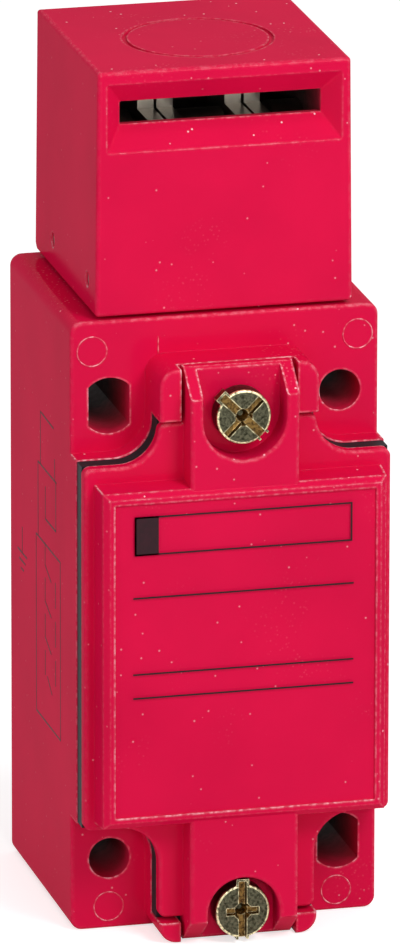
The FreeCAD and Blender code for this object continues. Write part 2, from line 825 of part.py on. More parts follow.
def make_cover():
    body = new_body("cover")
    wide = half_width - dims.skirt_inset
    narrow = neck - dims.skirt_inset
    reach = dims.rim_reach - dims.skirt_inset
    ear_low = dims.neck_top - dims.ear_length - dims.ear_gap
    foot_top = dims.case_bottom - dims.foot_length - dims.ear_gap
    tongue = dims.tongue_width / 2
    tongue_top = dims.neck_top
    tongue_bottom = dims.case_bottom - dims.tongue_lift

    skirt = front_sketch(body, "skirt_outline", gasket_front)
    draw_polygon(skirt, rim_outline(wide, narrow, reach, ear_low, foot_top))
    pad(body, "skirt", skirt, dims.skirt_thickness)
    scallops = four_ways(narrow, -reach, reach)
    soften(body, "skirt_scallops", "Fillet", dims.scallop_radius,
           edges_along(body, "Y", scallops))
    outer = four_ways(wide, -reach, reach) + four_ways(narrow, -foot_top, ear_low)
    soften(body, "skirt_corners", "Fillet", dims.skirt_corner, edges_along(body, "Y", outer))
    rims = [(-wide, -skirt_front), (wide, -skirt_front)]
    soften(body, "skirt_edges", "Fillet", dims.skirt_edge, edges_along(body, "Z", rims))

    strap = front_sketch(body, "tongue_outline", gasket_front)
    draw_box(strap, -tongue, tongue, -tongue_bottom, tongue_top)
    pad(body, "tongue", strap, dims.tongue_height)
    bevels = side_sketch(body, "tongue_bevels")
    back = dims.bevel_forward - tongue_front
    for end, inside in ((tongue_top, -1), (-tongue_bottom, 1)):
        draw_polygon(bevels, [
            (back, end),
            (-tongue_front, end + inside * dims.bevel_height),
            (-tongue_front - dims.overcut, end + inside * dims.bevel_height),
            (-tongue_front - dims.overcut, end - inside * dims.overcut),
            (back, end - inside * dims.overcut),
        ])
    cut(body, "tongue_ends", bevels, dims.tongue_width + dims.overcut, both_ways=True)
    sides = [(-tongue, -tongue_front), (tongue, -tongue_front)]
    soften(body, "tongue_edges", "Fillet", dims.tongue_edge, edges_along(body, "Z", sides))

    panel_side = wide - dims.panel_margin
    panel = front_sketch(body, "panel_outline", skirt_front)
    draw_box(panel, -panel_side, panel_side, -dims.panel_bottom, dims.panel_top)
    pad(body, "panel", panel, dims.panel_wall, taper=-dims.panel_draft)
    shrink = dims.panel_wall * math.tan(math.radians(dims.panel_draft.value))
    top_edge = front_sketch(body, "panel_rim_outline", skirt_front + dims.panel_wall)
    draw_box(top_edge, shrink - panel_side, panel_side - shrink, shrink - dims.panel_bottom,
             dims.panel_top - shrink)
    pad(body, "panel_rim", top_edge, dims.panel_rim, taper=-dims.panel_rim_draft)
    face_front = skirt_front + dims.panel_wall + dims.panel_rim
    label = front_sketch(body, "label_outline", face_front)
    edge = shrink + dims.label_margin
    draw_box(label, edge - panel_side, panel_side - edge, edge - dims.panel_bottom,
             dims.panel_top - edge)
    cut(body, "label_recess", label, dims.label_depth)

    for name, height, radius, end in (
            ("upper", dims.upper_screw, dims.upper_pocket, tongue_top + dims.overcut),
            ("lower", -dims.lower_screw, dims.lower_pocket, -tongue_bottom - dims.overcut)):
        pocket = front_sketch(body, f"{name}_pocket_outline", tongue_front)
        draw_circle(pocket, 0, height, radius)
        cut(body, f"{name}_pocket", pocket, tongue_front - skirt_front)
        channel = front_sketch(body, f"{name}_channel_outline", tongue_front)
        low, high = sorted((height, end), key=lambda size: size.value)
        draw_box(channel, -radius, radius, low, high)
        cut(body, f"{name}_channel", channel, tongue_front - skirt_front)
        sides = [(-radius, -tongue_front), (radius, -tongue_front)]
        soften(body, f"{name}_pocket_edge", "Fillet", dims.pocket_edge,
               edges_along(body, "Z", sides))

    inside = front_sketch(body, "cover_hollow_outline", gasket_front)
    wall = shrink + dims.cover_wall
    draw_box(inside, wall - panel_side, panel_side - wall, wall - dims.panel_bottom,
             dims.panel_top - wall)
    cut(body, "cover_hollow", inside, face_front - dims.cover_wall - gasket_front, forward=True)
    add_screw_holes(body, skirt_front, dims.skirt_thickness)
    return body


def make_cover_screws():
    """Two captive screws, each with a sealing washer under its head."""
    screws, washers = [], []
    seat = skirt_front + dims.seal_washer
    for name, height, turns in (("upper", dims.upper_screw, 1), ("lower", -dims.lower_screw, 2)):
        screws.append(screw(f"{name}_cover_screw", as_size(0), height, seat,
                            dims.cover_thread, dims.cover_thread_length, dims.cover_head,
                            dims.cover_head_height, DIMENSIONS["cover_lean"] * turns))
        disc = cylinder(f"{name}_washer_disc", dims.cover_head - dims.washer_margin,
                        dims.seal_washer, 0, skirt_front, height, "-Y")
        bore = cylinder(f"{name}_washer_bore", dims.cover_thread + dims.press_fit,
                        dims.seal_washer + 2 * dims.overcut, 0, skirt_front - dims.overcut,
                        height, "-Y")
        washers.append(subtract(f"{name}_seal_washer", disc, bore))
    return [group("cover_screws", screws), group("seal_washers", washers)]


# ---------------------------------------------------------------- head

def make_head():
    body = new_body("turret_head")
    outline = front_sketch(body, "head_outline", head_back)
    low, high = dims.head_bottom_width / 2, dims.head_top_width / 2
    draw_polygon(outline, [(-low, head_bottom), (low, head_bottom), (high, head_top),
                           (-high, head_top)])
    pad(body, "head_block", outline, head_front - head_back)
    corners = [(side * half, height) for side in (-1, 1)
               for half, height in ((low, head_bottom), (high, head_top))]
    heel = [(-head_back, head_bottom)]
    soften(body, "head_heel", "Chamfer", dims.head_heel, edges_along(body, "X", heel))
    middle = (low + high) / 2
    half_height = (head_bottom + head_top) / 2
    uprights = [(side * middle, -head_front, half_height) for side in (-1, 1)]
    rounded = [(-head_front, head_bottom), (-head_front, head_top), (-head_back, head_top)]
    soften(body, "head_edges", "Fillet", dims.head_edge,
           edges_along(body, "Y", corners) + edges_along(body, "X", rounded)
           + edges_at(body, uprights))
    cavity = plan_sketch(body, "chamber_outline", head_bottom)
    draw_box(cavity, -chamber_half, chamber_half, -chamber_front, -chamber_back)
    cut(body, "chamber", cavity, chamber_top - head_bottom, forward=True)

    funnel_top = head_top - dims.funnel_drop
    slot_top = head_top - dims.slot_drop
    mouth = front_sketch(body, "funnel_mouth", head_front)
    draw_box(mouth, -dims.funnel_width / 2, dims.funnel_width / 2,
             funnel_top - dims.funnel_height, funnel_top)
    throat = front_sketch(body, "funnel_throat", head_front - dims.funnel_depth)
    draw_box(throat, -dims.slot_width / 2, dims.slot_width / 2,
             slot_top - dims.slot_height, slot_top)
    before = body.Shape.Volume
    funnel = body.newObject("PartDesign::SubtractiveLoft", "funnel")
    funnel.Profile = mouth
    funnel.Sections = [throat]
    doc.recompute()
    if not body.Shape.Volume < before:
        raise RuntimeError("turret_head: the funnel cuts nothing")
    across = (dims.funnel_width + dims.slot_width) / 4
    heights = [(funnel_top + slot_top) / 2,
               (funnel_top - dims.funnel_height + slot_top - dims.slot_height) / 2]
    hips = [(side * across, dims.funnel_depth / 2 - head_front, height)
            for side in (-1, 1) for height in heights]
    soften(body, "funnel_corners", "Fillet", dims.funnel_corner, edges_at(body, hips))
    slot = front_sketch(body, "slot_outline", head_front - dims.funnel_depth)
    draw_box(slot, -dims.slot_width / 2, dims.slot_width / 2, slot_top - dims.slot_height,
             slot_top)
    cut(body, "slot", slot, dims.head_wall - dims.funnel_depth + dims.overcut)

    pins = side_sketch(body, "pin_holes_outline")
    draw_pin_holes(pins)
    cut(body, "pin_holes", pins, dims.head_bottom_width + dims.overcut, both_ways=True)

    badge = side_sketch(body, "badge_profile", along=turret_y, up=head_top)
    draw_box(badge, dims.badge_radius - dims.badge_width, dims.badge_radius,
             -dims.badge_depth, dims.overcut)
    turn(body, "badge_ring", "Groove", badge)
    return body


def draw_pin_holes(sketch):
    for side in (-1, 1):
        draw_circle(sketch, turret_y + side * pin_place, pin_height,
                    dims.pin_radius + dims.press_fit)


def make_cradle():
    """The block that closes the head from below, turns on the spigot and carries the cam."""
    body = new_body("cam_cradle")
    half = chamber_half - dims.cradle_play
    base = plan_sketch(body, "cradle_base_outline", head_bottom)
    draw_box(base, -half, half, dims.cradle_play - chamber_front,
             -chamber_back - dims.cradle_play)
    pad(body, "cradle_base", base, cradle_top - head_bottom)
    wall = side_sketch(body, "cheek_outline")
    draw_box(wall, turret_y - dims.cheek_radius, turret_y + dims.cheek_radius,
             cradle_top - dims.overcut, cam_z + dims.cheek_radius)
    pad(body, "cheeks", wall, half * 2, both_ways=True)
    tops = [(turret_y + side * dims.cheek_radius, cam_z + dims.cheek_radius) for side in (-1, 1)]
    soften(body, "cheek_tops", "Fillet", dims.cheek_radius - dims.cheek_crown,
           edges_along(body, "X", tops))
    gap = front_sketch(body, "cheek_gap_outline", chamber_front)
    draw_box(gap, -cheek_inside, cheek_inside, cradle_top,
             cam_z + dims.cheek_radius + dims.overcut)
    cut(body, "cheek_gap", gap, chamber_front - chamber_back)
    bore = plan_sketch(body, "turret_bore_outline", cradle_top)
    draw_circle(bore, 0, turret_y, dims.spigot_radius + dims.turret_fit)
    cut(body, "turret_bore", bore, cradle_top - head_bottom + dims.overcut)
    holes = side_sketch(body, "cradle_cross_holes")
    draw_pin_holes(holes)
    draw_circle(holes, turret_y, cam_z, dims.axle_radius + dims.press_fit)
    cut(body, "cross_holes", holes, half * 2 + dims.overcut, both_ways=True)
    return body


def make_head_pins():
    half = dims.head_bottom_width / 2 - dims.pin_recess
    pins = []
    for name, side in (("front_pin", 1), ("rear_pin", -1)):
        forward = dims.turret_forward + side * pin_place
        pins.append(cylinder(name, dims.pin_radius, half * 2, -half, forward, pin_height, "X"))
    axle_half = chamber_half - dims.cradle_play
    axle = cylinder("cam_axle", dims.axle_radius, axle_half * 2, -axle_half,
                    dims.turret_forward, cam_z, "X")
    axle.Label = "cam_axle"
    return [group("cross_pins", pins), axle]


# ---------------------------------------------------------------- cam

def involute_point(angle):
    """Where the lobe touches a flat follower below it, once the cam has turned by `angle`.

    The follower's height falls in proportion to the angle, which makes the lobe an involute of
    a circle whose radius is the rise per radian.
    """
    rise = dims.lobe_base_radius.value
    reach = dims.cam_reach.value - rise * angle
    y = reach * math.sin(angle) - rise * math.cos(angle)
    z = -reach * math.cos(angle) - rise * math.sin(angle)
    return FreeCAD.Vector(0, y, z)


def lobe_face():
    """Outline of the lobe: the involute, a flat, the dwell circle and the flank back to the tip."""
    travel = math.radians(dims.cam_travel.value)
    sweep = travel + 2 * LOBE_OVERRUN
    angles = [sweep * step / LOBE_STEPS - LOBE_OVERRUN for step in range(LOBE_STEPS + 1)]
    flank = Part.BSplineCurve()
    flank.interpolate([involute_point(angle) for angle in angles])
    dwell = dims.cam_reach.value - dims.lobe_base_radius.value * angles[-1]
    leave = FreeCAD.Vector(0, dwell * math.sin(angles[-1]), -dwell * math.cos(angles[-1]))
    tip = involute_point(angles[0])
    reach = math.acos(dwell / tip.Length)
    bearing = math.atan2(tip.z, tip.y) - reach
    arrive = FreeCAD.Vector(0, dwell * math.cos(bearing), dwell * math.sin(bearing))
    middle_bearing = (math.atan2(leave.z, leave.y) + bearing + 2 * math.pi) / 2
    middle = FreeCAD.Vector(0, dwell * math.cos(middle_bearing), dwell * math.sin(middle_bearing))
    edges = [
        flank.toShape(),
        Part.LineSegment(involute_point(angles[-1]), leave).toShape(),
        Part.Arc(leave, middle, arrive).toShape(),
        Part.LineSegment(arrive, tip).toShape(),
    ]
    return Part.Face(Part.Wire(edges))


def make_cam_hub():
    """One turned piece: a sleeve on the axle with the lobe in its middle."""
    length = (cheek_inside - dims.side_play).value
    width = dims.lobe_width.value
    along = FreeCAD.Vector(1, 0, 0)
    lobe = lobe_face()
    lobe.translate(FreeCAD.Vector(-width / 2, 0, 0))
    lobe = lobe.extrude(FreeCAD.Vector(width, 0, 0))
    start = FreeCAD.Vector(-length, 0, 0)
    sleeve = Part.makeCylinder(dims.hub_radius.value, 2 * length, start, along)
    bore = Part.makeCylinder((dims.axle_radius + dims.axle_fit).value, 2 * length, start, along)
    hub = doc.addObject("Part::Feature", "cam_hub")
    hub.Shape = lobe.fuse(sleeve).cut(bore)
    hub.Label = "cam_hub"
    centre = FreeCAD.Vector(0, turret_y.value, cam_z.value)
    hub.Placement = FreeCAD.Placement(centre, FreeCAD.Rotation())
    return hub


def make_cam_discs():
    """Two pairs of notched discs; the tongue of the key pushes the upright face of the notch."""
    discs = []
    step = (dims.disc_width + dims.disc_gap) / 2
    for pair in (-1, 1):
        for side in (-1, 1):
            name = f"disc{len(discs) + 1}"
            middle = pair * dims.disc_place + side * step
            blank = cylinder(f"{name}_blank", dims.disc_radius, dims.disc_width,
                             middle - dims.disc_width / 2, dims.turret_forward, cam_z, "X")
            bore = cylinder(f"{name}_bore", dims.hub_radius, dims.disc_width + 2 * dims.overcut,
                            middle - dims.disc_width / 2 - dims.overcut, dims.turret_forward,
                            cam_z, "X")
            notch = block(f"{name}_notch", dims.disc_width + dims.overcut, dims.disc_radius,
                          dims.disc_radius, middle, dims.turret_forward + dims.disc_radius
                          + dims.disc_set_back, cam_z + dims.disc_notch)
            discs.append(subtract(name, blank, join(f"{name}_cuts", [bore, notch])))
    return group("cam_discs", discs)


# ---------------------------------------------------------------- plunger and springs

def make_plunger():
    body = new_body("plunger")
    follower = plan_sketch(body, "follower_outline", follower_bottom)
    across, along = dims.follower_width / 2, dims.follower_length / 2
    draw_box(follower, -across, across, turret_y - along, turret_y + along)
    pad(body, "follower", follower, dims.follower_height)
    corners = [(side * across, turret_y + end * along) for side in (-1, 1) for end in (-1, 1)]
    soften(body, "follower_corners", "Fillet", dims.follower_height / 2,
           edges_along(body, "Z", corners))
    stem = plan_sketch(body, "stem_outline", dims.carrier_top)
    draw_circle(stem, 0, turret_y, dims.stem_radius)
    pad(body, "stem", stem, follower_bottom - dims.carrier_top)
    return body


def make_springs():
    plunger_spring = coil("plunger_spring", dims.spring_radius, dims.spring_wire,
                          dims.spring_turns, spring_seat, follower_bottom - spring_seat,
                          dims.turret_forward)
    foot = dims.bay_wall - block_top
    carrier_spring = coil("carrier_spring", dims.carrier_spring_radius, dims.spring_wire,
                          dims.carrier_spring_turns, foot, -dims.carrier_bottom - foot,
                          bridge_forward)
    return [plunger_spring, carrier_spring]


# ---------------------------------------------------------------- contact block

POLES = (1, 0, -1)


def make_contact_block():
    body = new_body("contact_block")
    base = front_sketch(body, "block_outline", block_back)
    draw_box(base, -block_half, block_half, -block_top, block_top)
    pad(body, "block_base", base, dims.block_front - block_back)
    corners = four_ways(block_half, -block_top, block_top)
    soften(body, "block_corners", "Fillet", dims.cavity_corner, edges_along(body, "Y", corners))
    channel = front_sketch(body, "channel_outline", dims.block_front)
    draw_box(channel, -channel_half, channel_half, dims.bay_wall - block_top,
             block_top + dims.overcut)
    cut(body, "channel", channel, dims.block_front - dims.channel_floor)

    bay_half = (pole_pitch - dims.bay_wall) / 2
    bays = front_sketch(body, "bay_outlines", dims.block_front)
    windows = front_sketch(body, "window_outlines", dims.block_front)
    for pole in POLES:
        low, high = pole_pitch * pole - bay_half, pole_pitch * pole + bay_half
        for side in (-1, 1):
            outer, inner = sorted((side * (block_half + dims.overcut), side * tower_half),
                                  key=lambda size: size.value)
            draw_box(bays, outer, inner, low, high)
        bar = pole_pitch * pole - dims.bridge_drop
        window_half = bridge_half + dims.window_play
        draw_box(windows, -window_half, window_half, bar - strip_room,
                 bar + dims.bridge_thickness + cam_lift + strip_room)
    cut(body, "terminal_bays", bays, dims.block_front - dims.shelf_front)
    cut(body, "bridge_windows", windows, dims.block_front - dims.window_floor)

    lands = front_sketch(body, "screw_lands", dims.block_front)
    bores = front_sketch(body, "block_screw_bores", dims.shelf_front)
    for side in (-1, 1):
        across, up = side * block_screw_x, side * block_screw_z
        draw_circle(lands, across, up, dims.small_head + dims.land_play)
        draw_circle(bores, across, up, dims.small_thread + dims.press_fit)
    cut(body, "screw_lands_cut", lands, dims.block_front - dims.shelf_front)
    cut(body, "screw_bores", bores, dims.shelf_front - block_back)
    taps = front_sketch(body, "terminal_taps", dims.shelf_front)
    for pole in POLES:
        for side in (-1, 1):
            draw_circle(taps, side * terminal_place, pole_pitch * pole,
                        dims.small_thread + dims.press_fit)
    cut(body, "terminal_tap_holes", taps, dims.terminal_thread_length)
    return body


def make_carrier():
    body = new_body("contact_carrier")
    half = channel_half - dims.carrier_play
    outline = front_sketch(body, "carrier_outline", dims.channel_floor + dims.carrier_play)
    draw_box(outline, -half, half, -dims.carrier_bottom, dims.carrier_top)
    pad(body, "carrier_bar", outline,
        dims.block_front - dims.channel_floor - dims.carrier_play - dims.carrier_set_back)
    windows = side_sketch(body, "bridge_slots")
    for pole in POLES:
        low = pole_pitch * pole - dims.bridge_drop
        draw_box(windows, -bridge_forward - dims.bridge_width / 2,
                 dims.bridge_width / 2 - bridge_forward, low, low + dims.bridge_thickness)
    cut(body, "bridge_slot_cuts", windows, 2 * channel_half + dims.overcut, both_ways=True)
    return body


def make_contacts():
    bridges, strips, clamps, screws = [], [], [], []
    for pole in POLES:
        height = pole_pitch * pole
        bar = height - dims.bridge_drop
        bridges.append(block(f"bridge{pole + 2}", 2 * bridge_half, dims.bridge_width,
                             dims.bridge_thickness, 0, bridge_forward + dims.bridge_width / 2,
                             bar))
        opens_with_key = pole < 1
        if opens_with_key:
            strip_low = bar - dims.contact_gap - dims.strip_thickness
        else:
            strip_low = bar + dims.bridge_thickness + cam_lift + dims.contact_gap
        for side in (-1, 1):
            name = f"pole{pole + 2}_{'right' if side > 0 else 'left'}"
            inner = tower_half + dims.strip_play
            outer = terminal_place + dims.clamp_width / 2
            reach = bridge_half - inner
            prong = block(f"{name}_prong", reach,
                          dims.shelf_front + dims.strip_thickness - bridge_forward
                          + dims.bridge_width / 2, dims.strip_thickness,
                          side * (inner + reach / 2),
                          dims.shelf_front + dims.strip_thickness, strip_low)
            plate = block(f"{name}_plate", outer - inner, dims.strip_thickness,
                          dims.clamp_width, side * (outer + inner) / 2,
                          dims.shelf_front + dims.strip_thickness,
                          height - dims.clamp_width / 2)
            link = block(f"{name}_link", reach, dims.strip_thickness,
                         strip_low - height + dims.strip_thickness if pole > 0
                         else height - strip_low, side * (inner + reach / 2),
                         dims.shelf_front + dims.strip_thickness,
                         height if pole > 0 else strip_low)
            hole = cylinder(f"{name}_hole", dims.small_thread + dims.press_fit,
                            dims.strip_thickness + 2 * dims.overcut, side * terminal_place,
                            dims.shelf_front - dims.overcut, height, "-Y")
            strips.append(subtract(name, join(f"{name}_strip", [prong, plate, link]), hole))
            seat = dims.shelf_front + dims.strip_thickness
            clamp = block(f"{name}_washer", dims.clamp_width, dims.clamp_thickness,
                          dims.clamp_width, side * terminal_place,
                          seat + dims.clamp_thickness, height - dims.clamp_width / 2)
            bore = cylinder(f"{name}_washer_hole", dims.small_thread + dims.press_fit,
                            dims.clamp_thickness + 2 * dims.overcut, side * terminal_place,
                            seat - dims.overcut, height, "-Y")
            clamps.append(subtract(f"{name}_clamp", clamp, bore))
            lean = DIMENSIONS["terminal_lean"] * (1 + pole + side / 2)
            screws.append(screw(f"{name}_screw", side * terminal_place, height,
                                seat + dims.clamp_thickness, dims.small_thread,
                                dims.terminal_thread_length, dims.small_head,
                                dims.small_head_height, lean))
    return [group("bridge_contacts", bridges), group("fixed_contacts", strips),
            group("terminal_clamps", clamps), group("terminal_screws", screws)]


def make_block_screws():
    screws = []
    for name, side in (("upper_right", 1), ("lower_left", -1)):
        screws.append(screw(f"block_screw_{name}", side * block_screw_x,
                            side * block_screw_z, dims.shelf_front, dims.small_thread,
                            dims.shelf_front - block_back + dims.block_tap_depth
                            - dims.tap_room, dims.small_head, dims.small_head_height,
                            DIMENSIONS["block_lean"] * side))
    return group("block_screws", screws)


# ---------------------------------------------------------------- build, check and export

pieces = [make_case(), make_gasket(), make_cover(), make_head(), make_cradle(), make_cam_hub(),
          make_cam_discs(), make_plunger(), make_contact_block(), make_carrier(),
          make_block_screws()]
pieces += make_case_fittings() + make_cover_screws() + make_head_pins()
pieces += make_springs() + make_contacts()
doc.recompute()

for item in doc.Objects:
    if "Invalid" in item.State or "Error" in item.State:
        raise RuntimeError(f"{item.Label} did not compute: {item.State}")
for piece in pieces:
    if piece.Shape.isNull() or not piece.Shape.isValid():
        raise RuntimeError(f"{piece.Label} has no valid shape")

os.makedirs("parts", exist_ok=True)
for piece in pieces:
    piece.Shape.exportStep(f"parts/{piece.Label}.step")
    print(f"{piece.Label}: {len(piece.Shape.Solids)} solids, {piece.Shape.Volume:.1f} mm3")
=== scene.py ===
import json
import math

import bpy
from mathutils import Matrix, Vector


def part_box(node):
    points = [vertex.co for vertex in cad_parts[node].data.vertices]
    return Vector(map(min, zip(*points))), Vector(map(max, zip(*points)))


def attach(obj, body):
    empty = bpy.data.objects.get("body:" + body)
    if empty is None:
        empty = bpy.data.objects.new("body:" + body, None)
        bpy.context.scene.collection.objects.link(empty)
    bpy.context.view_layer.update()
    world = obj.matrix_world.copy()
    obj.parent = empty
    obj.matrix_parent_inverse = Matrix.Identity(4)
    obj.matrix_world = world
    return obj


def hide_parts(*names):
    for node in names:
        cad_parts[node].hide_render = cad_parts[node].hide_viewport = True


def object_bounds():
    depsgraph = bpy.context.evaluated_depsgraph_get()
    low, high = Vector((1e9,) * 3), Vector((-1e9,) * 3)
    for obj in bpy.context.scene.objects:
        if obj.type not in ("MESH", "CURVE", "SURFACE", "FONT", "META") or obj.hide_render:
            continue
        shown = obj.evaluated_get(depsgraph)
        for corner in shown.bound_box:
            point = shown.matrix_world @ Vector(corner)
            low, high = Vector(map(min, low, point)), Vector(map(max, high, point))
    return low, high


bl_info = {
    "name": "Tongue Interlock Switch",
    "version": (1, 0, 0),
    "blender": (4, 5, 0),
    "location": "View3D > Sidebar > Interlock",
    "description": "Finishes, screws, print and studio stage of a tongue interlock switch",
    "category": "Object",
}

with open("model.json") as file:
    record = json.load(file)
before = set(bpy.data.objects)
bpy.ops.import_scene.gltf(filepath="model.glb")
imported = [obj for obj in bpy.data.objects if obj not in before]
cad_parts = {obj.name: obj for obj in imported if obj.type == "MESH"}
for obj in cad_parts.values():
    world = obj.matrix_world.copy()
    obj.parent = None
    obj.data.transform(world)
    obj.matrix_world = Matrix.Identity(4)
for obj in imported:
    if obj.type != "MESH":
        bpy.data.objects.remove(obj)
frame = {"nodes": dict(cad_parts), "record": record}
CAD_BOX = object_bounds()

MM = 0.001
UP, DOWN, FORWARD = Vector((0, 0, 1)), Vector((0, 0, -1)), Vector((0, -1, 0))
QUARTER_TURN = math.pi / 2
PAD_FRONT = -32.8 * MM      # where the corner pads of the case lie along Y


def hex_colour(text):
    """Linear RGBA of an sRGB hex colour."""
    levels = [int(text[place:place + 2], 16) / 255 for place in (1, 3, 5)]
    linear = [level / 12.92 if level <= 0.04045 else ((level + 0.055) / 1.055) ** 2.4
              for level in levels]
    return (*linear, 1.0)


def length(name, description, millimetres):
    """A length that the user can change, held in metres."""
    return bpy.props.FloatProperty(name=name, description=description, unit="LENGTH",
                                   default=millimetres * MM, min=0.0, precision=5)


def colour(name, description, text):
    """A colour that the user can change."""
    return bpy.props.FloatVectorProperty(name=name, description=description, subtype="COLOR",
                                         size=4, min=0.0, max=1.0, default=hex_colour(text))


class InterlockSizes(bpy.types.PropertyGroup):
    """Sizes of the pieces that this add-on models."""

    head_radius: length("Screw head radius", "Radius of a cover screw's head", 3.55)
    head_height: length("Screw head height", "Height of a cover screw's head", 2.5)
    slot_width: length("Drive slot width", "Width of the slots in a screw's head", 1.05)
    slot_depth: length("Drive slot depth", "Depth of the slots in a screw's head", 1.0)
    prong_reach: length("Slot prong reach", "How far the slot's longer end is from the axis", 4.25)
    shank_radius: length("Shank radius", "Outside radius of a cover screw's thread", 2.0)
    shank_length: length("Shank length", "Length of a cover screw below its head", 12.5)
    thread_pitch: length("Thread pitch", "Distance from one thread to the next", 0.7)
    mark_radius: length("Ejector mark radius", "Radius of the ejector pin marks", 2.0)
    mark_height: length("Ejector mark height", "How proud the ejector marks stand", 0.07)
    ink_height: length("Ink height", "Thickness of the printed ink", 0.02)
    ink_line: length("Ink line", "Width of the printed lines", 0.22)


class InterlockColours(bpy.types.PropertyGroup):
    """Colours of the finishes."""

    coat: colour("Coat", "Powder coat of the castings", "#DC1045")
    coat_dark: colour("Coat, thin", "Powder coat where it is thinner", "#D20E41")
    # painted highlight: the pale colour painted on the coat's edges, nibs and specks as their
    # highlights
    painted_highlight: colour("Coat, rubbed", "Powder coat on edges and nibs", "#FFC2CC")
    # bare zinc, given a dark brown as painted shade in the holes and the head's hollow
    bare: colour("Bare casting", "Uncoated zinc inside the holes", "#6E5A58")
    bare_dark: colour("Bare casting, dark", "Uncoated zinc where its skin is dull", "#35221F")
    rubber: colour("Rubber", "Gasket and seals", "#17161A")
    rubber_dust: colour("Rubber, dusty", "Gasket and seals where dust clings", "#2C2B30")
    zinc: colour("Zinc", "Passivated zinc plating", "#5B5947")
    zinc_dark: colour("Zinc, dark", "Passivated zinc plating where it is dulled", "#27261B")
    zinc_gold: colour("Zinc, gold", "Passivated zinc plating where it is thick", "#86693A")
    zinc_brown: colour("Zinc, brown", "Passivated zinc plating deep in a slot", "#3B2A18")
    # painted highlight: pale zinc painted on the screws' rims and edges as their highlight
    zinc_highlight: colour("Zinc, edge", "Plating polished on the edges", "#F2E6B8")
    steel: colour("Steel", "Ground steel", "#D8D6D0")
    sinter: colour("Sintered steel", "Sintered steel", "#C9C2B6")
    phenolic: colour("Phenolic", "Contact block", "#3A3A3C")
    acetal: colour("Acetal", "Contact carrier", "#E4E0D2")
    brass: colour("Brass", "Contact strips", "#C9A255")
    ink: colour("Ink", "Print on the label and the side", "#1E0D12")
    ink_thin: colour("Ink, thin", "Print where the coat shows through", "#35101B")
    floor: colour("Floor", "Studio floor", "#E6E6E6")


def sizes():
    """The scene's sizes of this add-on's pieces."""
    return bpy.context.scene.interlock_sizes


def colours():
    """The scene's colours of the finishes."""
    return bpy.context.scene.interlock_colours


# ------------------------------------------------------------------ materials

OVERSPRAY = (2 * MM, 14 * MM)   # the red overspray in a hole is full, and gone, at these depths; deeper in, the wall is painted dark as shade
RAGGED_EDGE = 4 * MM            # how unevenly the dust ends
COAT_RIM, PLATE_RIM = 0.32 * MM, 0.16 * MM      # how far from an edge each painted highlight reaches
COAT_ROUNDING = 0.25 * MM       # how the coat rounds an edge
LAMP_SIDE = (0.42, -0.22, 0.88)      # the lamps' side for the painted highlights: towards the right, the front and above
RING_LOW, RING_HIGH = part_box("turret_ring")
TURRET_AXIS = (RING_LOW.y + RING_HIGH.y) / 2
RING_REACH, RING_BLEND = 10.5 * MM, 0.5 * MM    # just outside the ring groove in the head's top
MIX_FACTOR, MIX_A, MIX_B, MIX_RESULT = 0, 6, 7, 2   # a colour Mix node's sockets


def per(millimetres):
    """Scale of a pattern whose features are this many millimetres apart."""
    return 1.0 / (millimetres * MM)


def add(tree, kind, inputs=None, **settings):
    """Adds one node with its settings, and links or sets its inputs."""
    made = tree.nodes.new(kind)
    for name, value in settings.items():
        setattr(made, name, value)
    for name, value in (inputs or {}).items():
        if isinstance(value, bpy.types.NodeSocket):
            tree.links.new(value, made.inputs[name])
        else:
            made.inputs[name].default_value = value
    return made


def blank(name):
    """A new material and its emptied tree."""
    material = bpy.data.materials.new(name)
    material.use_nodes = True
    material.node_tree.nodes.clear()
    return material, material.node_tree


def close(tree, shader):
    """Leads a shader to the material's output."""
    add(tree, "ShaderNodeOutputMaterial", {"Surface": shader.outputs[0]})


def painted_edge_highlights(tree, place, reach):
    """How much an outer edge gets a painted highlight, broken up so that it isn't an even line."""
    inside = add(tree, "ShaderNodeAmbientOcclusion", {"Distance": reach}, samples=6,
                 inside=True, only_local=True)
    edge = add(tree, "ShaderNodeMapRange", {"Value": inside.outputs["AO"], "From Min": 0.96,
                                            "From Max": 0.7})
    breaks = add(tree, "ShaderNodeTexNoise", {"Vector": place, "Scale": per(0.7),
                                              "Detail": 3.0})
    share = add(tree, "ShaderNodeMapRange", {"Value": breaks.outputs["Fac"], "From Min": 0.44,
                                             "From Max": 0.62, "To Min": 0.15, "To Max": 1.0})
    return add(tree, "ShaderNodeMath", {0: edge.outputs[0], 1: share.outputs[0]},
               operation="MULTIPLY").outputs[0]


def lamp_side_share(tree, place, rounded):
    """How much a place faces up and to the right, towards the lamps, where highlights are painted
    on edges, nibs and specks, and little of it on the turret's top plate inside the ring."""
    facing = add(tree, "ShaderNodeVectorMath", {0: rounded, 1: LAMP_SIDE},
                 operation="DOT_PRODUCT")
    toward_lamps = add(tree, "ShaderNodeMapRange", {"Value": facing.outputs["Value"],
                                               "From Min": 0.1, "From Max": 0.55,
                                               "To Min": 0.16, "To Max": 1.0})
    off_axis = add(tree, "ShaderNodeVectorMath", {0: place, 1: (1.0, 1.0, 0.0),
                                                  2: (0.0, -TURRET_AXIS, 0.0)},
                   operation="MULTIPLY_ADD")
    far = add(tree, "ShaderNodeVectorMath", {0: off_axis.outputs[0]}, operation="LENGTH")
    plate = add(tree, "ShaderNodeMapRange", {"Value": far.outputs["Value"],
                                             "From Min": RING_REACH,
                                             "From Max": RING_REACH + RING_BLEND,
                                             "To Min": 0.25, "To Max": 1.0})
    return add(tree, "ShaderNodeMath", {0: toward_lamps.outputs[0], 1: plate.outputs[0]},
               operation="MULTIPLY").outputs[0]


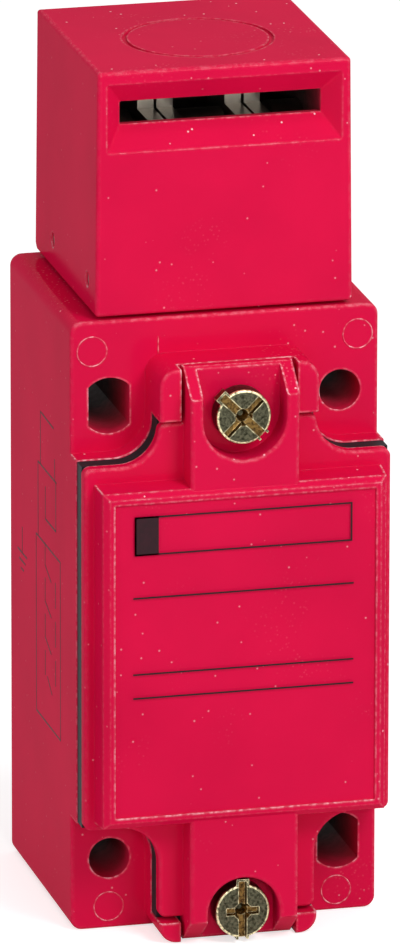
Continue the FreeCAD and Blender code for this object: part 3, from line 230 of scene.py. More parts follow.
def powder_coat():
    """Polyester powder coat on zinc die casting: a saturated semi-gloss red with faint orange
    peel, a fine grain and a few hard nibs; painted highlights lighten its edges, its nibs and
    fine specks, most where they face the lamps above and to the right."""
    material, tree = blank("polyester_powder_coat_on_zinc_die_casting")
    place = add(tree, "ShaderNodeTexCoord").outputs["Object"]
    film = add(tree, "ShaderNodeTexNoise", {"Vector": place, "Scale": per(16), "Detail": 3.0})
    peel = add(tree, "ShaderNodeTexNoise", {"Vector": place, "Scale": per(1.1), "Detail": 2.0})
    grain = add(tree, "ShaderNodeTexNoise", {"Vector": place, "Scale": per(0.28), "Detail": 2.0})
    nibs = add(tree, "ShaderNodeTexVoronoi", {"Vector": place, "Scale": per(2.0)})
    nib = add(tree, "ShaderNodeMapRange", {"Value": nibs.outputs["Distance"], "From Min": 0.05,
                                           "From Max": 0.08, "To Min": 1.0, "To Max": 0.0})
    # specks: fine painted glints, in colour only, with no relief
    specks = add(tree, "ShaderNodeTexVoronoi", {"Vector": place, "Scale": per(0.6)})
    speck = add(tree, "ShaderNodeMapRange", {"Value": specks.outputs["Distance"],
                                             "From Min": 0.12, "From Max": 0.28,
                                             "To Min": 0.22, "To Max": 0.0})
    clouds = add(tree, "ShaderNodeTexNoise", {"Vector": place, "Scale": per(11), "Detail": 2.0})
    cloud = add(tree, "ShaderNodeMapRange", {"Value": clouds.outputs["Fac"], "From Min": 0.56,
                                             "From Max": 0.74})
    speck_glints = add(tree, "ShaderNodeMath", {0: speck.outputs[0], 1: cloud.outputs[0]},
                  operation="MULTIPLY")
    tint = add(tree, "ShaderNodeMapRange", {"Value": film.outputs["Fac"], "From Min": 0.35,
                                            "From Max": 0.7})
    even = add(tree, "ShaderNodeMix", {MIX_FACTOR: tint.outputs[0], MIX_A: colours().coat,
                                       MIX_B: colours().coat_dark}, data_type="RGBA")
    rounded = add(tree, "ShaderNodeBevel", {"Radius": COAT_ROUNDING}, samples=6).outputs[0]
    # the nibs get a painted highlight on top of their real relief
    glinting_nibs_and_specks = add(tree, "ShaderNodeMath", {0: nib.outputs[0], 1: speck_glints.outputs[0]},
                  operation="MAXIMUM")
    # painted highlights on the edges and on the nibs and specks
    stain_and_highlight = add(tree, "ShaderNodeMath", {0: painted_edge_highlights(tree, place, COAT_RIM),
                                        1: glinting_nibs_and_specks.outputs[0]}, operation="MAXIMUM")
    painted_highlight = add(tree, "ShaderNodeMath", {0: stain_and_highlight.outputs[0],
                                          1: lamp_side_share(tree, place, rounded)},
                 operation="MULTIPLY")
    # mixes the painted highlight colour into the coat
    base = add(tree, "ShaderNodeMix", {MIX_FACTOR: painted_highlight.outputs[0],
                                       MIX_A: even.outputs[MIX_RESULT],
                                       MIX_B: colours().painted_highlight}, data_type="RGBA")
    gloss = add(tree, "ShaderNodeMapRange", {"Value": peel.outputs["Fac"], "To Min": 0.3,
                                             "To Max": 0.45})
    wave = add(tree, "ShaderNodeMath", {0: peel.outputs["Fac"], 1: 0.6}, operation="MULTIPLY")
    dust = add(tree, "ShaderNodeMath", {0: grain.outputs["Fac"], 1: 0.22, 2: wave.outputs[0]},
               operation="MULTIPLY_ADD")
    relief = add(tree, "ShaderNodeMath", {0: nib.outputs[0], 1: 1.6, 2: dust.outputs[0]},
                 operation="MULTIPLY_ADD")
    bump = add(tree, "ShaderNodeBump", {"Height": relief.outputs[0], "Distance": 0.03 * MM,
                                        "Strength": 0.6, "Normal": rounded})
    shader = add(tree, "ShaderNodeBsdfPrincipled", {
        "Base Color": base.outputs[MIX_RESULT], "Roughness": gloss.outputs[0],
        "Specular IOR Level": 0.0, "Normal": bump.outputs[0], "Coat Weight": 0.08,
        "Coat Roughness": 0.14, "Coat Normal": bump.outputs[0]})
    close(tree, shader)
    return material


def bare_casting_in_painted_shade():
    """As-cast zinc inside a hole: red overspray at the mouth, then a rough skin in a dull dark
    brown grey, darker than bare zinc as painted shade deep in the holes and the head's hollow."""
    material, tree = blank("as_cast_zinc_with_overspray_and_painted_shade")
    place = add(tree, "ShaderNodeTexCoord").outputs["Object"]
    skin = add(tree, "ShaderNodeTexNoise", {"Vector": place, "Scale": per(0.9), "Detail": 4.0})
    metal = add(tree, "ShaderNodeMix", {MIX_FACTOR: skin.outputs["Fac"], MIX_A: colours().bare,
                                        MIX_B: colours().bare_dark}, data_type="RGBA")
    depth = add(tree, "ShaderNodeSeparateXYZ", {0: place}).outputs["Y"]
    ragged = add(tree, "ShaderNodeMath", {0: skin.outputs["Fac"], 1: RAGGED_EDGE, 2: depth},
                 operation="MULTIPLY_ADD")
    reach = add(tree, "ShaderNodeMapRange", {"Value": ragged.outputs[0],
                                             "From Min": PAD_FRONT + OVERSPRAY[0],
                                             "From Max": PAD_FRONT + OVERSPRAY[1]})
    base = add(tree, "ShaderNodeMix", {MIX_FACTOR: reach.outputs[0],
                                       MIX_A: colours().coat_dark,
                                       MIX_B: metal.outputs[MIX_RESULT]}, data_type="RGBA")
    bump = add(tree, "ShaderNodeBump", {"Height": skin.outputs["Fac"], "Distance": 0.05 * MM,
                                        "Strength": 0.5})
    shader = add(tree, "ShaderNodeBsdfPrincipled", {
        "Base Color": base.outputs[MIX_RESULT], "Roughness": 0.6,
        "Specular IOR Level": 0.15, "Normal": bump.outputs[0]})
    close(tree, shader)
    return material


def nitrile_rubber():
    """Moulded nitrile rubber: near black, matt, with a dusty skin."""
    material, tree = blank("moulded_nitrile_rubber")
    place = add(tree, "ShaderNodeTexCoord").outputs["Object"]
    dust = add(tree, "ShaderNodeTexNoise", {"Vector": place, "Scale": per(0.5), "Detail": 5.0})
    base = add(tree, "ShaderNodeMix", {MIX_FACTOR: dust.outputs["Fac"], MIX_A: colours().rubber,
                                       MIX_B: colours().rubber_dust}, data_type="RGBA")
    bump = add(tree, "ShaderNodeBump", {"Height": dust.outputs["Fac"], "Distance": 0.04 * MM,
                                        "Strength": 0.6})
    shader = add(tree, "ShaderNodeBsdfPrincipled", {
        "Base Color": base.outputs[MIX_RESULT], "Roughness": 0.55,
        "Specular IOR Level": 0.08, "Normal": bump.outputs[0]})
    close(tree, shader)
    return material


def plated_metal(name, light, dark):
    """Yellow-passivated zinc plating on cold-headed steel: a satin metal in dull and clean
    patches, with fine tumbling marks and painted highlights on its edges."""
    material, tree = blank(name)
    place = add(tree, "ShaderNodeTexCoord").outputs["Object"]
    patches = add(tree, "ShaderNodeTexNoise", {"Vector": place, "Scale": per(0.4),
                                               "Detail": 4.0, "Distortion": 0.6})
    share = add(tree, "ShaderNodeMapRange", {"Value": patches.outputs["Fac"], "From Min": 0.38,
                                             "From Max": 0.66})
    marks = add(tree, "ShaderNodeTexNoise", {"Vector": place, "Scale": per(0.22), "Detail": 3.0})
    plate = add(tree, "ShaderNodeMix", {MIX_FACTOR: share.outputs[0], MIX_A: light,
                                        MIX_B: dark}, data_type="RGBA")
    base = add(tree, "ShaderNodeMix", {MIX_FACTOR: painted_edge_highlights(tree, place, PLATE_RIM),
                                       MIX_A: plate.outputs[MIX_RESULT],
                                       MIX_B: colours().zinc_highlight}, data_type="RGBA")
    gloss = add(tree, "ShaderNodeMapRange", {"Value": marks.outputs["Fac"], "To Min": 0.28,
                                             "To Max": 0.5})
    bump = add(tree, "ShaderNodeBump", {"Height": marks.outputs["Fac"], "Distance": 0.05 * MM,
                                        "Strength": 0.7})
    shader = add(tree, "ShaderNodeBsdfPrincipled", {
        "Base Color": base.outputs[MIX_RESULT], "Metallic": 1.0, "Roughness": gloss.outputs[0],
        "Normal": bump.outputs[0]})
    close(tree, shader)
    return material


def machined_metal(name, base_colour, roughness, line_pitch):
    """A turned or ground metal: one colour with fine lines across X that spread the gloss."""
    material, tree = blank(name)
    place = add(tree, "ShaderNodeTexCoord").outputs["Object"]
    drawn = add(tree, "ShaderNodeMapping", {"Vector": place, "Scale": (1.0, 0.08, 0.08)})
    lines = add(tree, "ShaderNodeTexNoise", {"Vector": drawn.outputs[0],
                                             "Scale": per(line_pitch), "Detail": 4.0})
    stain = add(tree, "ShaderNodeTexNoise", {"Vector": place, "Scale": per(3), "Detail": 3.0})
    stain_and_highlight = add(tree, "ShaderNodeHueSaturation", {"Color": base_colour, "Value": 0.72})
    base = add(tree, "ShaderNodeMix", {MIX_FACTOR: stain.outputs["Fac"], MIX_A: base_colour,
                                       MIX_B: stain_and_highlight.outputs[0]}, data_type="RGBA")
    gloss = add(tree, "ShaderNodeMapRange", {"Value": lines.outputs["Fac"],
                                             "To Min": roughness[0], "To Max": roughness[1]})
    bump = add(tree, "ShaderNodeBump", {"Height": lines.outputs["Fac"], "Distance": 0.01 * MM,
                                        "Strength": 0.5})
    shader = add(tree, "ShaderNodeBsdfPrincipled", {
        "Base Color": base.outputs[MIX_RESULT], "Metallic": 1.0, "Roughness": gloss.outputs[0],
        "Normal": bump.outputs[0]})
    close(tree, shader)
    return material


def moulded_plastic(name, base_colour, roughness, grain):
    """A moulded plastic: an even colour, with cloudy flow and a spark-eroded skin."""
    material, tree = blank(name)
    place = add(tree, "ShaderNodeTexCoord").outputs["Object"]
    flow = add(tree, "ShaderNodeTexNoise", {"Vector": place, "Scale": per(9), "Detail": 2.0,
                                            "Distortion": 1.0})
    skin = add(tree, "ShaderNodeTexNoise", {"Vector": place, "Scale": per(grain), "Detail": 2.0})
    deep = add(tree, "ShaderNodeHueSaturation", {"Color": base_colour, "Value": 0.8})
    base = add(tree, "ShaderNodeMix", {MIX_FACTOR: flow.outputs["Fac"], MIX_A: base_colour,
                                       MIX_B: deep.outputs[0]}, data_type="RGBA")
    bump = add(tree, "ShaderNodeBump", {"Height": skin.outputs["Fac"], "Distance": 0.02 * MM,
                                        "Strength": 0.5})
    shader = add(tree, "ShaderNodeBsdfPrincipled", {
        "Base Color": base.outputs[MIX_RESULT], "Roughness": roughness,
        "Normal": bump.outputs[0]})
    close(tree, shader)
    return material


def screen_ink():
    """Screen-printed ink: a matt black film, thin enough for the coat to warm it."""
    material, tree = blank("screen_printed_ink")
    place = add(tree, "ShaderNodeTexCoord").outputs["Object"]
    cover = add(tree, "ShaderNodeTexNoise", {"Vector": place, "Scale": per(0.6), "Detail": 3.0})
    base = add(tree, "ShaderNodeMix", {MIX_FACTOR: cover.outputs["Fac"], MIX_A: colours().ink,
                                       MIX_B: colours().ink_thin}, data_type="RGBA")
    shader = add(tree, "ShaderNodeBsdfPrincipled", {
        "Base Color": base.outputs[MIX_RESULT], "Roughness": 0.6, "Specular IOR Level": 0.2})
    close(tree, shader)
    return material


FINISHES = {
    "red_casting": powder_coat,
    "bare": bare_casting_in_painted_shade,
    "black_rubber": nitrile_rubber,
    "zinc_plate": lambda: plated_metal("yellow_passivated_zinc_plate", colours().zinc,
                                       colours().zinc_dark),
    "zinc_rim": lambda: plated_metal("zinc_plate_with_painted_rim_highlights", colours().zinc_highlight,
                                     colours().zinc),
    "zinc_slot": lambda: plated_metal("yellow_passivated_zinc_in_a_slot", colours().zinc_gold,
                                      colours().zinc_brown),
    "bright_steel": lambda: machined_metal("ground_bright_steel", colours().steel,
                                           roughness=(0.2, 0.36), line_pitch=0.12),
    "dark_steel": lambda: machined_metal("sintered_dark_steel", colours().sinter,
                                         roughness=(0.24, 0.42), line_pitch=0.3),
    "contact_brass": lambda: machined_metal("rolled_brass_strip", colours().brass,
                                            roughness=(0.22, 0.38), line_pitch=0.15),
    "grey_plastic": lambda: moulded_plastic("moulded_phenolic", colours().phenolic,
                                            roughness=0.45, grain=0.4),
    "white_plastic": lambda: moulded_plastic("moulded_acetal", colours().acetal,
                                             roughness=0.35, grain=0.5),
    "ink": screen_ink,
}
MADE = {}       # the name of each finish's material, once it is made


def finish(name):
    """The material of a finish, made once."""
    made = bpy.data.materials.get(MADE.get(name, ""))
    if made is None:
        made = FINISHES[name]()
        MADE[name] = made.name
    return made


def coat_node(node, *names):
    """Gives a CAD node its finishes, the first one on every face."""
    slots = frame["nodes"][node].data.materials
    slots.clear()
    for name in names:
        slots.append(finish(name))


# ------------------------------------------------------------------ modelling helpers

FACING = 0.9                # a face looks in a direction from this cosine up


def start_clean():
    """In object mode, with nothing selected."""
    if bpy.context.object and bpy.context.object.mode != "OBJECT":
        bpy.ops.object.mode_set(mode="OBJECT")
    bpy.ops.object.select_all(action="DESELECT")


def select_facing(piece, direction):
    """In edit mode, selects only the faces that look in a direction."""
    bpy.ops.mesh.select_all(action="DESELECT")
    bpy.ops.object.mode_set(mode="OBJECT")
    for face in piece.data.polygons:
        face.select = face.normal.dot(direction) > FACING
    if not any(face.select for face in piece.data.polygons):
        raise RuntimeError(f"{piece.name}: no face to shape")
    bpy.ops.object.mode_set(mode="EDIT")
    bpy.ops.mesh.select_mode(type="FACE")


def apply_modifier(piece, kind, **settings):
    """Adds a modifier with its settings and applies it."""
    bpy.context.view_layer.objects.active = piece
    modifier = piece.modifiers.new(kind.lower(), kind)
    for name, value in settings.items():
        setattr(modifier, name, value)
    bpy.ops.object.modifier_apply(modifier=modifier.name)


def carve(piece, tool, operation="DIFFERENCE"):
    """Cuts a tool out of a piece, or adds it, and takes the tool away."""
    apply_modifier(piece, "BOOLEAN", operation=operation, object=tool, solver="EXACT")
    bpy.data.objects.remove(tool, do_unlink=True)


def settle(piece, name, body, slot_name):
    """Names a finished piece, applies its place and gives it its body and finish."""
    start_clean()
    piece.select_set(True)
    bpy.context.view_layer.objects.active = piece
    bpy.ops.object.transform_apply(location=True, rotation=True, scale=True)
    piece.name = name
    piece.data.name = name
    piece.data.materials.clear()
    piece.data.materials.append(finish(slot_name))
    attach(piece, body)
    return piece


# ------------------------------------------------------------------ castings and CAD nodes

FIXING_ACROSS, FIXING_UP = 15 * MM, 30 * MM     # the fixing holes' axes from the centre
HOLE_REACH = 3.8 * MM       # half width of the box round a fixing hole's axis
HOLE_TILT = 0.3             # how far a hole's wall may look along its axis
HEAD_LOW, HEAD_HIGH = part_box("turret_head")
HEAD_WALL = 2.35 * MM       # the coat runs this far into the key slot


def in_fixing_hole(face):
    """True for the wall of one of the four fixing holes."""
    across = abs(abs(face.center.x) - FIXING_ACROSS)
    up = abs(abs(face.center.z) - FIXING_UP)
    return across < HOLE_REACH and up < HOLE_REACH and abs(face.normal.y) < HOLE_TILT


def in_head_chamber(face):
    """True for the walls of the hollow of the head."""
    inside = all(HEAD_LOW[axis] + HEAD_WALL < face.center[axis] < HEAD_HIGH[axis] - HEAD_WALL
                 for axis in range(2))
    return inside and face.center.z < HEAD_HIGH.z - HEAD_WALL


# Each coated casting, with the test for the faces that stay bare.
CASTINGS = {"case": in_fixing_hole, "turret_head": in_head_chamber, "cover": None}


class INTERLOCK_OT_castings(bpy.types.Operator):
    """Coat the case, the cover and the turret head"""

    bl_idname = "interlock.castings"
    bl_label = "Coat the Castings"

    def execute(self, context):
        for node, stays_bare in CASTINGS.items():
            if stays_bare is None:
                coat_node(node, "red_casting")
                continue
            coat_node(node, "red_casting", "bare")
            faces = frame["nodes"][node].data.polygons
            for face in faces:
                face.material_index = int(stays_bare(face))
            if not any(face.material_index for face in faces):
                raise RuntimeError(f"{node}: no bare face found")
        return {"FINISHED"}


class INTERLOCK_OT_mechanism(bpy.types.Operator):
    """Give the seals, the cam, the plunger and the contacts their finishes"""

    bl_idname = "interlock.mechanism"
    bl_label = "Finish the Mechanism"

    def execute(self, context):
        done = set(CASTINGS)
        for row in frame["record"]["subparts"]:
            if row["node"] not in done:
                coat_node(row["node"], row["material_slot"])
                done.add(row["node"])
        missing = set(frame["nodes"]) - done
        if missing:
            raise RuntimeError(f"no finish for {sorted(missing)}")
        return {"FINISHED"}


# ------------------------------------------------------------------ cover screws

HEAD_SIDES, CORE_SIDES, SOCKET_SIDES = 96, 48, 12
RIM_CHAMFER, TIP_CHAMFER = 0.32 * MM, 0.4 * MM
EDGE_ROUNDING, SHARP_EDGE = 0.1 * MM, math.radians(40)
SMOOTH_BELOW = math.radians(30)
PRONG_WALL = 0.3 * MM       # metal left beside and behind the slot where it leaves the head
PRONG_STUB = 0.2 * MM       # how far the slot's walls stand out at its other end
PRONG_DROP = 0.05 * MM      # how far those walls end below the head's top
CROSS_SHARE = 0.9           # width and depth of the cross arm against the slot's
SOCKET_TIP, SOCKET_MOUTH = 0.35 * MM, 1.2 * MM      # radii of the cone in the middle
SOCKET_LENGTH, SOCKET_DROP = 2.2 * MM, 1.0 * MM     # the cone's length, and its middle's place
THREAD_STEPS = 28           # straight runs in one turn of the thread
THREAD_DEPTH = 0.6          # in pitches
THREAD_FOOT = 0.05 * MM     # how far the ridge reaches into the core
THREAD_START = 0.37 * MM    # above the tip of the shank
PLAIN_SHANK = 3 * MM        # length without a thread
SLOT_FLOOR = 0.2 * MM       # the slots' own finish starts this far below the top
SLOT_EDGE = 0.1 * MM        # and reaches this far past the cross arm's ends
SLOT_HALF, CROSS_HALF = 0.55, 0.5       # half widths of the finished slots, in slot widths
HUB_REACH = 1.0 * MM        # the socket in the middle keeps the slots' finish
PLAIN_FOOT = 0.25           # share of the head's height at its seat that gets no painted highlight
RIM_FACING = (-0.97, -0.25)     # how far a rim's faces with the painted highlight look along Y
UPPER_TURN, UPPER_CROSS = math.radians(135), 3.2 * MM   # the slot's turn, the cross arm's reach
LOWER_TURN, LOWER_CROSS = math.radians(90), 2.1 * MM


def screw_blank():
    """The head of a cover screw, standing on the XY plane with its top upwards."""
    height = sizes().head_height
    bpy.ops.mesh.primitive_cylinder_add(vertices=HEAD_SIDES, radius=sizes().head_radius,
                                        depth=height, location=(0, 0, height / 2))
    head = bpy.context.object
    bpy.ops.object.transform_apply(location=True)
    bpy.ops.object.mode_set(mode="EDIT")
    select_facing(head, UP)
    bpy.ops.mesh.bevel(offset=RIM_CHAMFER, segments=2, affect="EDGES")
    bpy.ops.object.mode_set(mode="OBJECT")
    return head


def bar(start, end, wide, deep, top, turn):
    """A bar for cutting or adding, along a line through the axis, its top at a height."""
    middle = (start + end) / 2
    bpy.ops.mesh.primitive_cube_add(size=1.0, rotation=(0, 0, turn), location=(
        middle * math.cos(turn), middle * math.sin(turn), top - deep / 2))
    made = bpy.context.object
    made.scale = (end - start, wide, deep)
    bpy.ops.object.transform_apply(location=True, rotation=True, scale=True)
    return made


def slotted_head(turn, cross_reach):
    """A cheese head whose slot leaves it at one end, with a cross arm and a socket."""
    radius, top = sizes().head_radius, sizes().head_height
    wide, deep = sizes().slot_width, sizes().slot_depth
    head = screw_blank()
    carve(head, bar(-radius - PRONG_STUB, sizes().prong_reach, wide + 2 * PRONG_WALL,
                    deep + PRONG_WALL, top - PRONG_DROP, turn), "UNION")
    carve(head, bar(-2 * radius, sizes().prong_reach - PRONG_WALL, wide, 2 * deep,
                    top + deep, turn))
    carve(head, bar(-cross_reach, cross_reach, CROSS_SHARE * wide, 2 * CROSS_SHARE * deep,
                    top + CROSS_SHARE * deep, turn + QUARTER_TURN))
    bpy.ops.mesh.primitive_cone_add(vertices=SOCKET_SIDES, radius1=SOCKET_TIP,
                                    radius2=SOCKET_MOUTH, depth=SOCKET_LENGTH,
                                    location=(0, 0, top - SOCKET_DROP), rotation=(0, 0, turn))
    carve(head, bpy.context.object)
    apply_modifier(head, "BEVEL", width=EDGE_ROUNDING, segments=2, limit_method="ANGLE",
                   angle_limit=SHARP_EDGE)
    return head


def threaded_shank():
    """A core with a helical ridge below the XY plane, its end chamfered."""
    outer, pitch = sizes().shank_radius, sizes().thread_pitch
    root = outer - THREAD_DEPTH * pitch
    shank = sizes().shank_length
    bpy.ops.mesh.primitive_cylinder_add(vertices=CORE_SIDES, radius=root, depth=shank,
                                        location=(0, 0, -shank / 2))
    core = bpy.context.object
    bpy.ops.object.transform_apply(location=True)
    bpy.ops.object.mode_set(mode="EDIT")
    select_facing(core, DOWN)
    bpy.ops.mesh.bevel(offset=TIP_CHAMFER, segments=1, affect="EDGES")
    bpy.ops.object.mode_set(mode="OBJECT")
    bpy.ops.mesh.primitive_circle_add(vertices=3, radius=pitch, fill_type="NOTHING",
                                      location=(0, 0, 0))
    ridge = bpy.context.object
    foot, start = root - THREAD_FOOT, THREAD_START - shank
    profile = (foot, 0, start + pitch), (foot, 0, start), (outer, 0, start + pitch / 2)
    for corner, place in zip(ridge.data.vertices, profile):
        corner.co = place
    apply_modifier(ridge, "SCREW", steps=THREAD_STEPS, render_steps=THREAD_STEPS,
                   iterations=int((shank - PLAIN_SHANK) / pitch), screw_offset=pitch,
                   use_normal_calculate=True)
    bpy.ops.object.mode_set(mode="EDIT")
    bpy.ops.mesh.select_all(action="SELECT")
    bpy.ops.mesh.fill_holes(sides=4)
    bpy.ops.mesh.select_all(action="SELECT")
    bpy.ops.mesh.normals_make_consistent(inside=False)
    bpy.ops.object.mode_set(mode="OBJECT")
    return core, ridge


def tint_slots_and_highlight_rims(piece, seat, height, turn, cross_reach):
    """Gives a screw's slots their brown and its rims a painted highlight."""
    piece.data.materials.append(finish("zinc_slot"))
    piece.data.materials.append(finish("zinc_rim"))
    brown, bright = 1, 2
    wide, tall = sizes().slot_width, sizes().head_height
    along = Vector((math.cos(turn), math.sin(turn)))
    for face in piece.data.polygons:
        place = Vector((face.center.x, face.center.z - height))
        in_slot = abs(place.cross(along)) < SLOT_HALF * wide
        in_cross = (abs(place.dot(along)) < CROSS_HALF * wide
                    and place.length < cross_reach + SLOT_EDGE)
        if face.center.y >= seat - PLAIN_FOOT * tall:
            continue
        # the rim's sloping faces get the painted highlight
        if RIM_FACING[0] < face.normal.y < RIM_FACING[1] and place.length > HUB_REACH:
            face.material_index = bright
        elif face.center.y > seat - tall + SLOT_FLOOR and (in_slot or in_cross):
            face.material_index = brown


def cover_screw(name, height, turn, cross_reach):
    """A captive screw: slotted cheese head with a cross recess, on a threaded shank."""
    head = slotted_head(turn, cross_reach)
    parts = threaded_shank()
    start_clean()
    for part in (head, *parts):
        part.select_set(True)
    bpy.context.view_layer.objects.active = head
    bpy.ops.object.join()
    bpy.ops.object.shade_smooth_by_angle(angle=SMOOTH_BELOW)
    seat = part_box("seal_washers")[0].y
    head.rotation_euler = (QUARTER_TURN, 0, 0)
    head.location = (0, seat, height)
    piece = settle(head, name, "cover", "zinc_plate")
    tint_slots_and_highlight_rims(piece, seat, height, turn, cross_reach)
    return piece


class INTERLOCK_OT_cover_screws(bpy.types.Operator):
    """Model the two captive cover screws"""

    bl_idname = "interlock.cover_screws"
    bl_label = "Model the Cover Screws"

    def execute(self, context):
        start_clean()
        low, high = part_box("cover_screws")
        radius = sizes().head_radius
        upper = cover_screw("upper_cover_screw", high.z - radius, UPPER_TURN, UPPER_CROSS)
        lower = cover_screw("lower_cover_screw", low.z + radius, LOWER_TURN, LOWER_CROSS)
        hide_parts("cover_screws")
        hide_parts("cover_screws")
        return {"FINISHED"}


# ------------------------------------------------------------------ marks of the casting die

EJECTOR_MARKS = {           # right and up from the centre, in millimetres
    "upper_left": (-17.2, 37.2), "upper_right": (17.3, 37.2),
    "lower_left": (-15.1, -36.5), "lower_right": (14.8, -36.7),
}
MARK_SIDES = 64
MARK_LIP, MARK_SLOPE = 0.1 * MM, 0.12 * MM      # widths of the lip and of the slope inside it
MARK_DISH = 1.6             # depth of the dish, against how proud the lip is
MARK_ROUNDING, MARK_SHARP = 0.03 * MM, math.radians(30)
MARK_SMOOTH = math.radians(35)
PARTING_LINE_PLACE = (-8.63 * MM, PAD_FRONT, 37.5 * MM)
PARTING_LINE_SIZE = (0.16 * MM, 0.14 * MM, 2.3 * MM)
PARTING_LINE_ROUNDING = 0.05 * MM


def ejector_mark(name, right, up):
    """A round mark with a fine lip, where an ejector pin left the corner pad."""
    proud = sizes().mark_height
    bpy.ops.mesh.primitive_cylinder_add(vertices=MARK_SIDES, radius=sizes().mark_radius,
                                        depth=4 * proud, location=(right, PAD_FRONT + proud, up),
                                        rotation=(QUARTER_TURN, 0, 0))
    mark = bpy.context.object
    bpy.ops.object.transform_apply(location=True, rotation=True)
    bpy.ops.object.mode_set(mode="EDIT")
    select_facing(mark, FORWARD)
    bpy.ops.mesh.inset(thickness=MARK_LIP)
    bpy.ops.mesh.inset(thickness=MARK_SLOPE, depth=-MARK_DISH * proud)
    bpy.ops.object.mode_set(mode="OBJECT")
    apply_modifier(mark, "BEVEL", width=MARK_ROUNDING, segments=2, limit_method="ANGLE",
                   angle_limit=MARK_SHARP)
    bpy.ops.object.shade_smooth_by_angle(angle=MARK_SMOOTH)
    return settle(mark, name, "root", "red_casting")


class INTERLOCK_OT_die_marks(bpy.types.Operator):
    """Add the ejector marks and the parting line of the case"""

    bl_idname = "interlock.die_marks"
    bl_label = "Add the Die Marks"

    def execute(self, context):
        start_clean()
        for corner, (right, up) in EJECTOR_MARKS.items():
            ejector_mark(f"ejector_mark_{corner}", right * MM, up * MM)
        bpy.ops.mesh.primitive_cube_add(size=1.0, location=PARTING_LINE_PLACE)
        line = bpy.context.object
        line.scale = PARTING_LINE_SIZE
        bpy.ops.object.transform_apply(location=True, scale=True)
        apply_modifier(line, "BEVEL", width=PARTING_LINE_ROUNDING, segments=2)
        settle(line, "parting_line", "root", "red_casting")
        return {"FINISHED"}


# ------------------------------------------------------------------ print

# Flat drawings in millimetres: across and up on the cover, forward and up on the left side.
LABEL_FRAME = ((-14.4, 13.46), (13.8, 18.57))
LABEL_BLOCK = ((-14.4, 13.46), (-11.3, 18.57))
LABEL_RULES = [((-14.5, height), (13.9, height)) for height in (7.9, -2.15, -5.3)]
DIAGRAM_FRAME = ((14.0, -15.8), (27.4, 8.1))
DIAGRAM_LINES = [
    ((15.2, 17.9), (25.2, 17.9)), ((16.6, 18.0), (16.6, 24.9)), ((16.6, 24.9), (23.6, 24.7)),
    ((24.3, 18.0), (24.3, 20.7)), ((15.2, 8.1), (15.2, 17.9)), ((24.9, 11.4), (24.9, 17.9)),
    ((19.2, 11.4), (24.9, 11.4)), ((19.2, 11.4), (19.2, 15.6)),
    ((19.0, 5.2), (19.0, 8.1)), ((19.0, 5.2), (22.2, 3.9)), ((19.0, 0.4), (19.0, 3.4)),
    ((19.0, 0.4), (22.2, -0.8)), ((19.0, -4.4), (19.0, -1.4)), ((19.0, -4.4), (22.2, -5.7)),
    ((19.0, -9.4), (19.0, -6.3)), ((20.2, -9.4), (22.6, -11.0)),
    ((24.6, 1.2), (24.6, 4.4)), ((24.6, -4.0), (24.6, -0.8)), ((24.6, -9.2), (24.6, -6.0)),
]
EARTH_LINES = [((6.4, 3.0), (6.4, 6.4)), ((3.9, 3.0), (8.9, 3.0)), ((4.8, 1.9), (8.0, 1.9)),
               ((5.7, 0.8), (7.1, 0.8))]
LABEL_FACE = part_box("cover")[0].y
SIDE_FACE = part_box("case")[0].x


def stroke(start, end, line):
    """A flat printed line on the XY plane between two points given in millimetres."""
    start, end = Vector(start) * MM, Vector(end) * MM
    run = end - start
    middle = (start + end) / 2
    bpy.ops.mesh.primitive_plane_add(size=1.0, location=(middle.x, middle.y, 0),
                                     rotation=(0, 0, math.atan2(run.y, run.x)))
    made = bpy.context.object
    made.scale = (run.length + line, line, 1.0)
    return made


def box_shape(low, high, line=None):
    """A flat rectangle on the XY plane, or its outline where a line width is given."""
    low, high = Vector(low) * MM, Vector(high) * MM
    middle = (low + high) / 2
    bpy.ops.mesh.primitive_plane_add(size=1.0, location=(middle.x, middle.y, 0))
    made = bpy.context.object
    made.scale = (high.x - low.x, high.y - low.y, 1.0)
    bpy.ops.object.transform_apply(location=True, scale=True)
    if line:
        bpy.ops.object.mode_set(mode="EDIT")
        bpy.ops.mesh.inset(thickness=line)
        bpy.ops.mesh.delete(type="FACE")
        bpy.ops.object.mode_set(mode="OBJECT")
    return made


def print_piece(name, body, parts, rotation, location):
    """Joins flat shapes, gives them the ink's thickness and stands them on a face."""
    start_clean()
    for part in parts:
        part.select_set(True)
    bpy.context.view_layer.objects.active = parts[0]
    bpy.ops.object.transform_apply(location=True, rotation=True, scale=True)
    bpy.ops.object.join()
    drawing = bpy.context.object
    bpy.ops.object.mode_set(mode="EDIT")
    bpy.ops.mesh.select_all(action="SELECT")
    bpy.ops.mesh.extrude_region_move(TRANSFORM_OT_translate={
        "value": (0, 0, sizes().ink_height)})
    bpy.ops.mesh.select_all(action="SELECT")
    bpy.ops.mesh.normals_make_consistent(inside=False)
    bpy.ops.object.mode_set(mode="OBJECT")
    drawing.rotation_euler, drawing.location = rotation, location
    return settle(drawing, name, body, "ink")


class INTERLOCK_OT_print(bpy.types.Operator):
    """Print the blank label on the cover and the contact diagram on the side"""

    bl_idname = "interlock.print"
    bl_label = "Print the Label and the Diagram"

    def execute(self, context):
        start_clean()
        line = sizes().ink_line
        label = [box_shape(*LABEL_FRAME, line), box_shape(*LABEL_BLOCK)]
        label += [stroke(*ends, line) for ends in LABEL_RULES]
        print_piece("label_print", "cover", label, (QUARTER_TURN, 0, 0), (0, LABEL_FACE, 0))
        diagram = [box_shape(*DIAGRAM_FRAME, line)]
        diagram += [stroke(*ends, line) for ends in DIAGRAM_LINES + EARTH_LINES]
        print_piece("side_print", "root", diagram, (QUARTER_TURN, 0, -QUARTER_TURN),
                    (SIDE_FACE, 0, 0))
        return {"FINISHED"}


# ------------------------------------------------------------------ stage

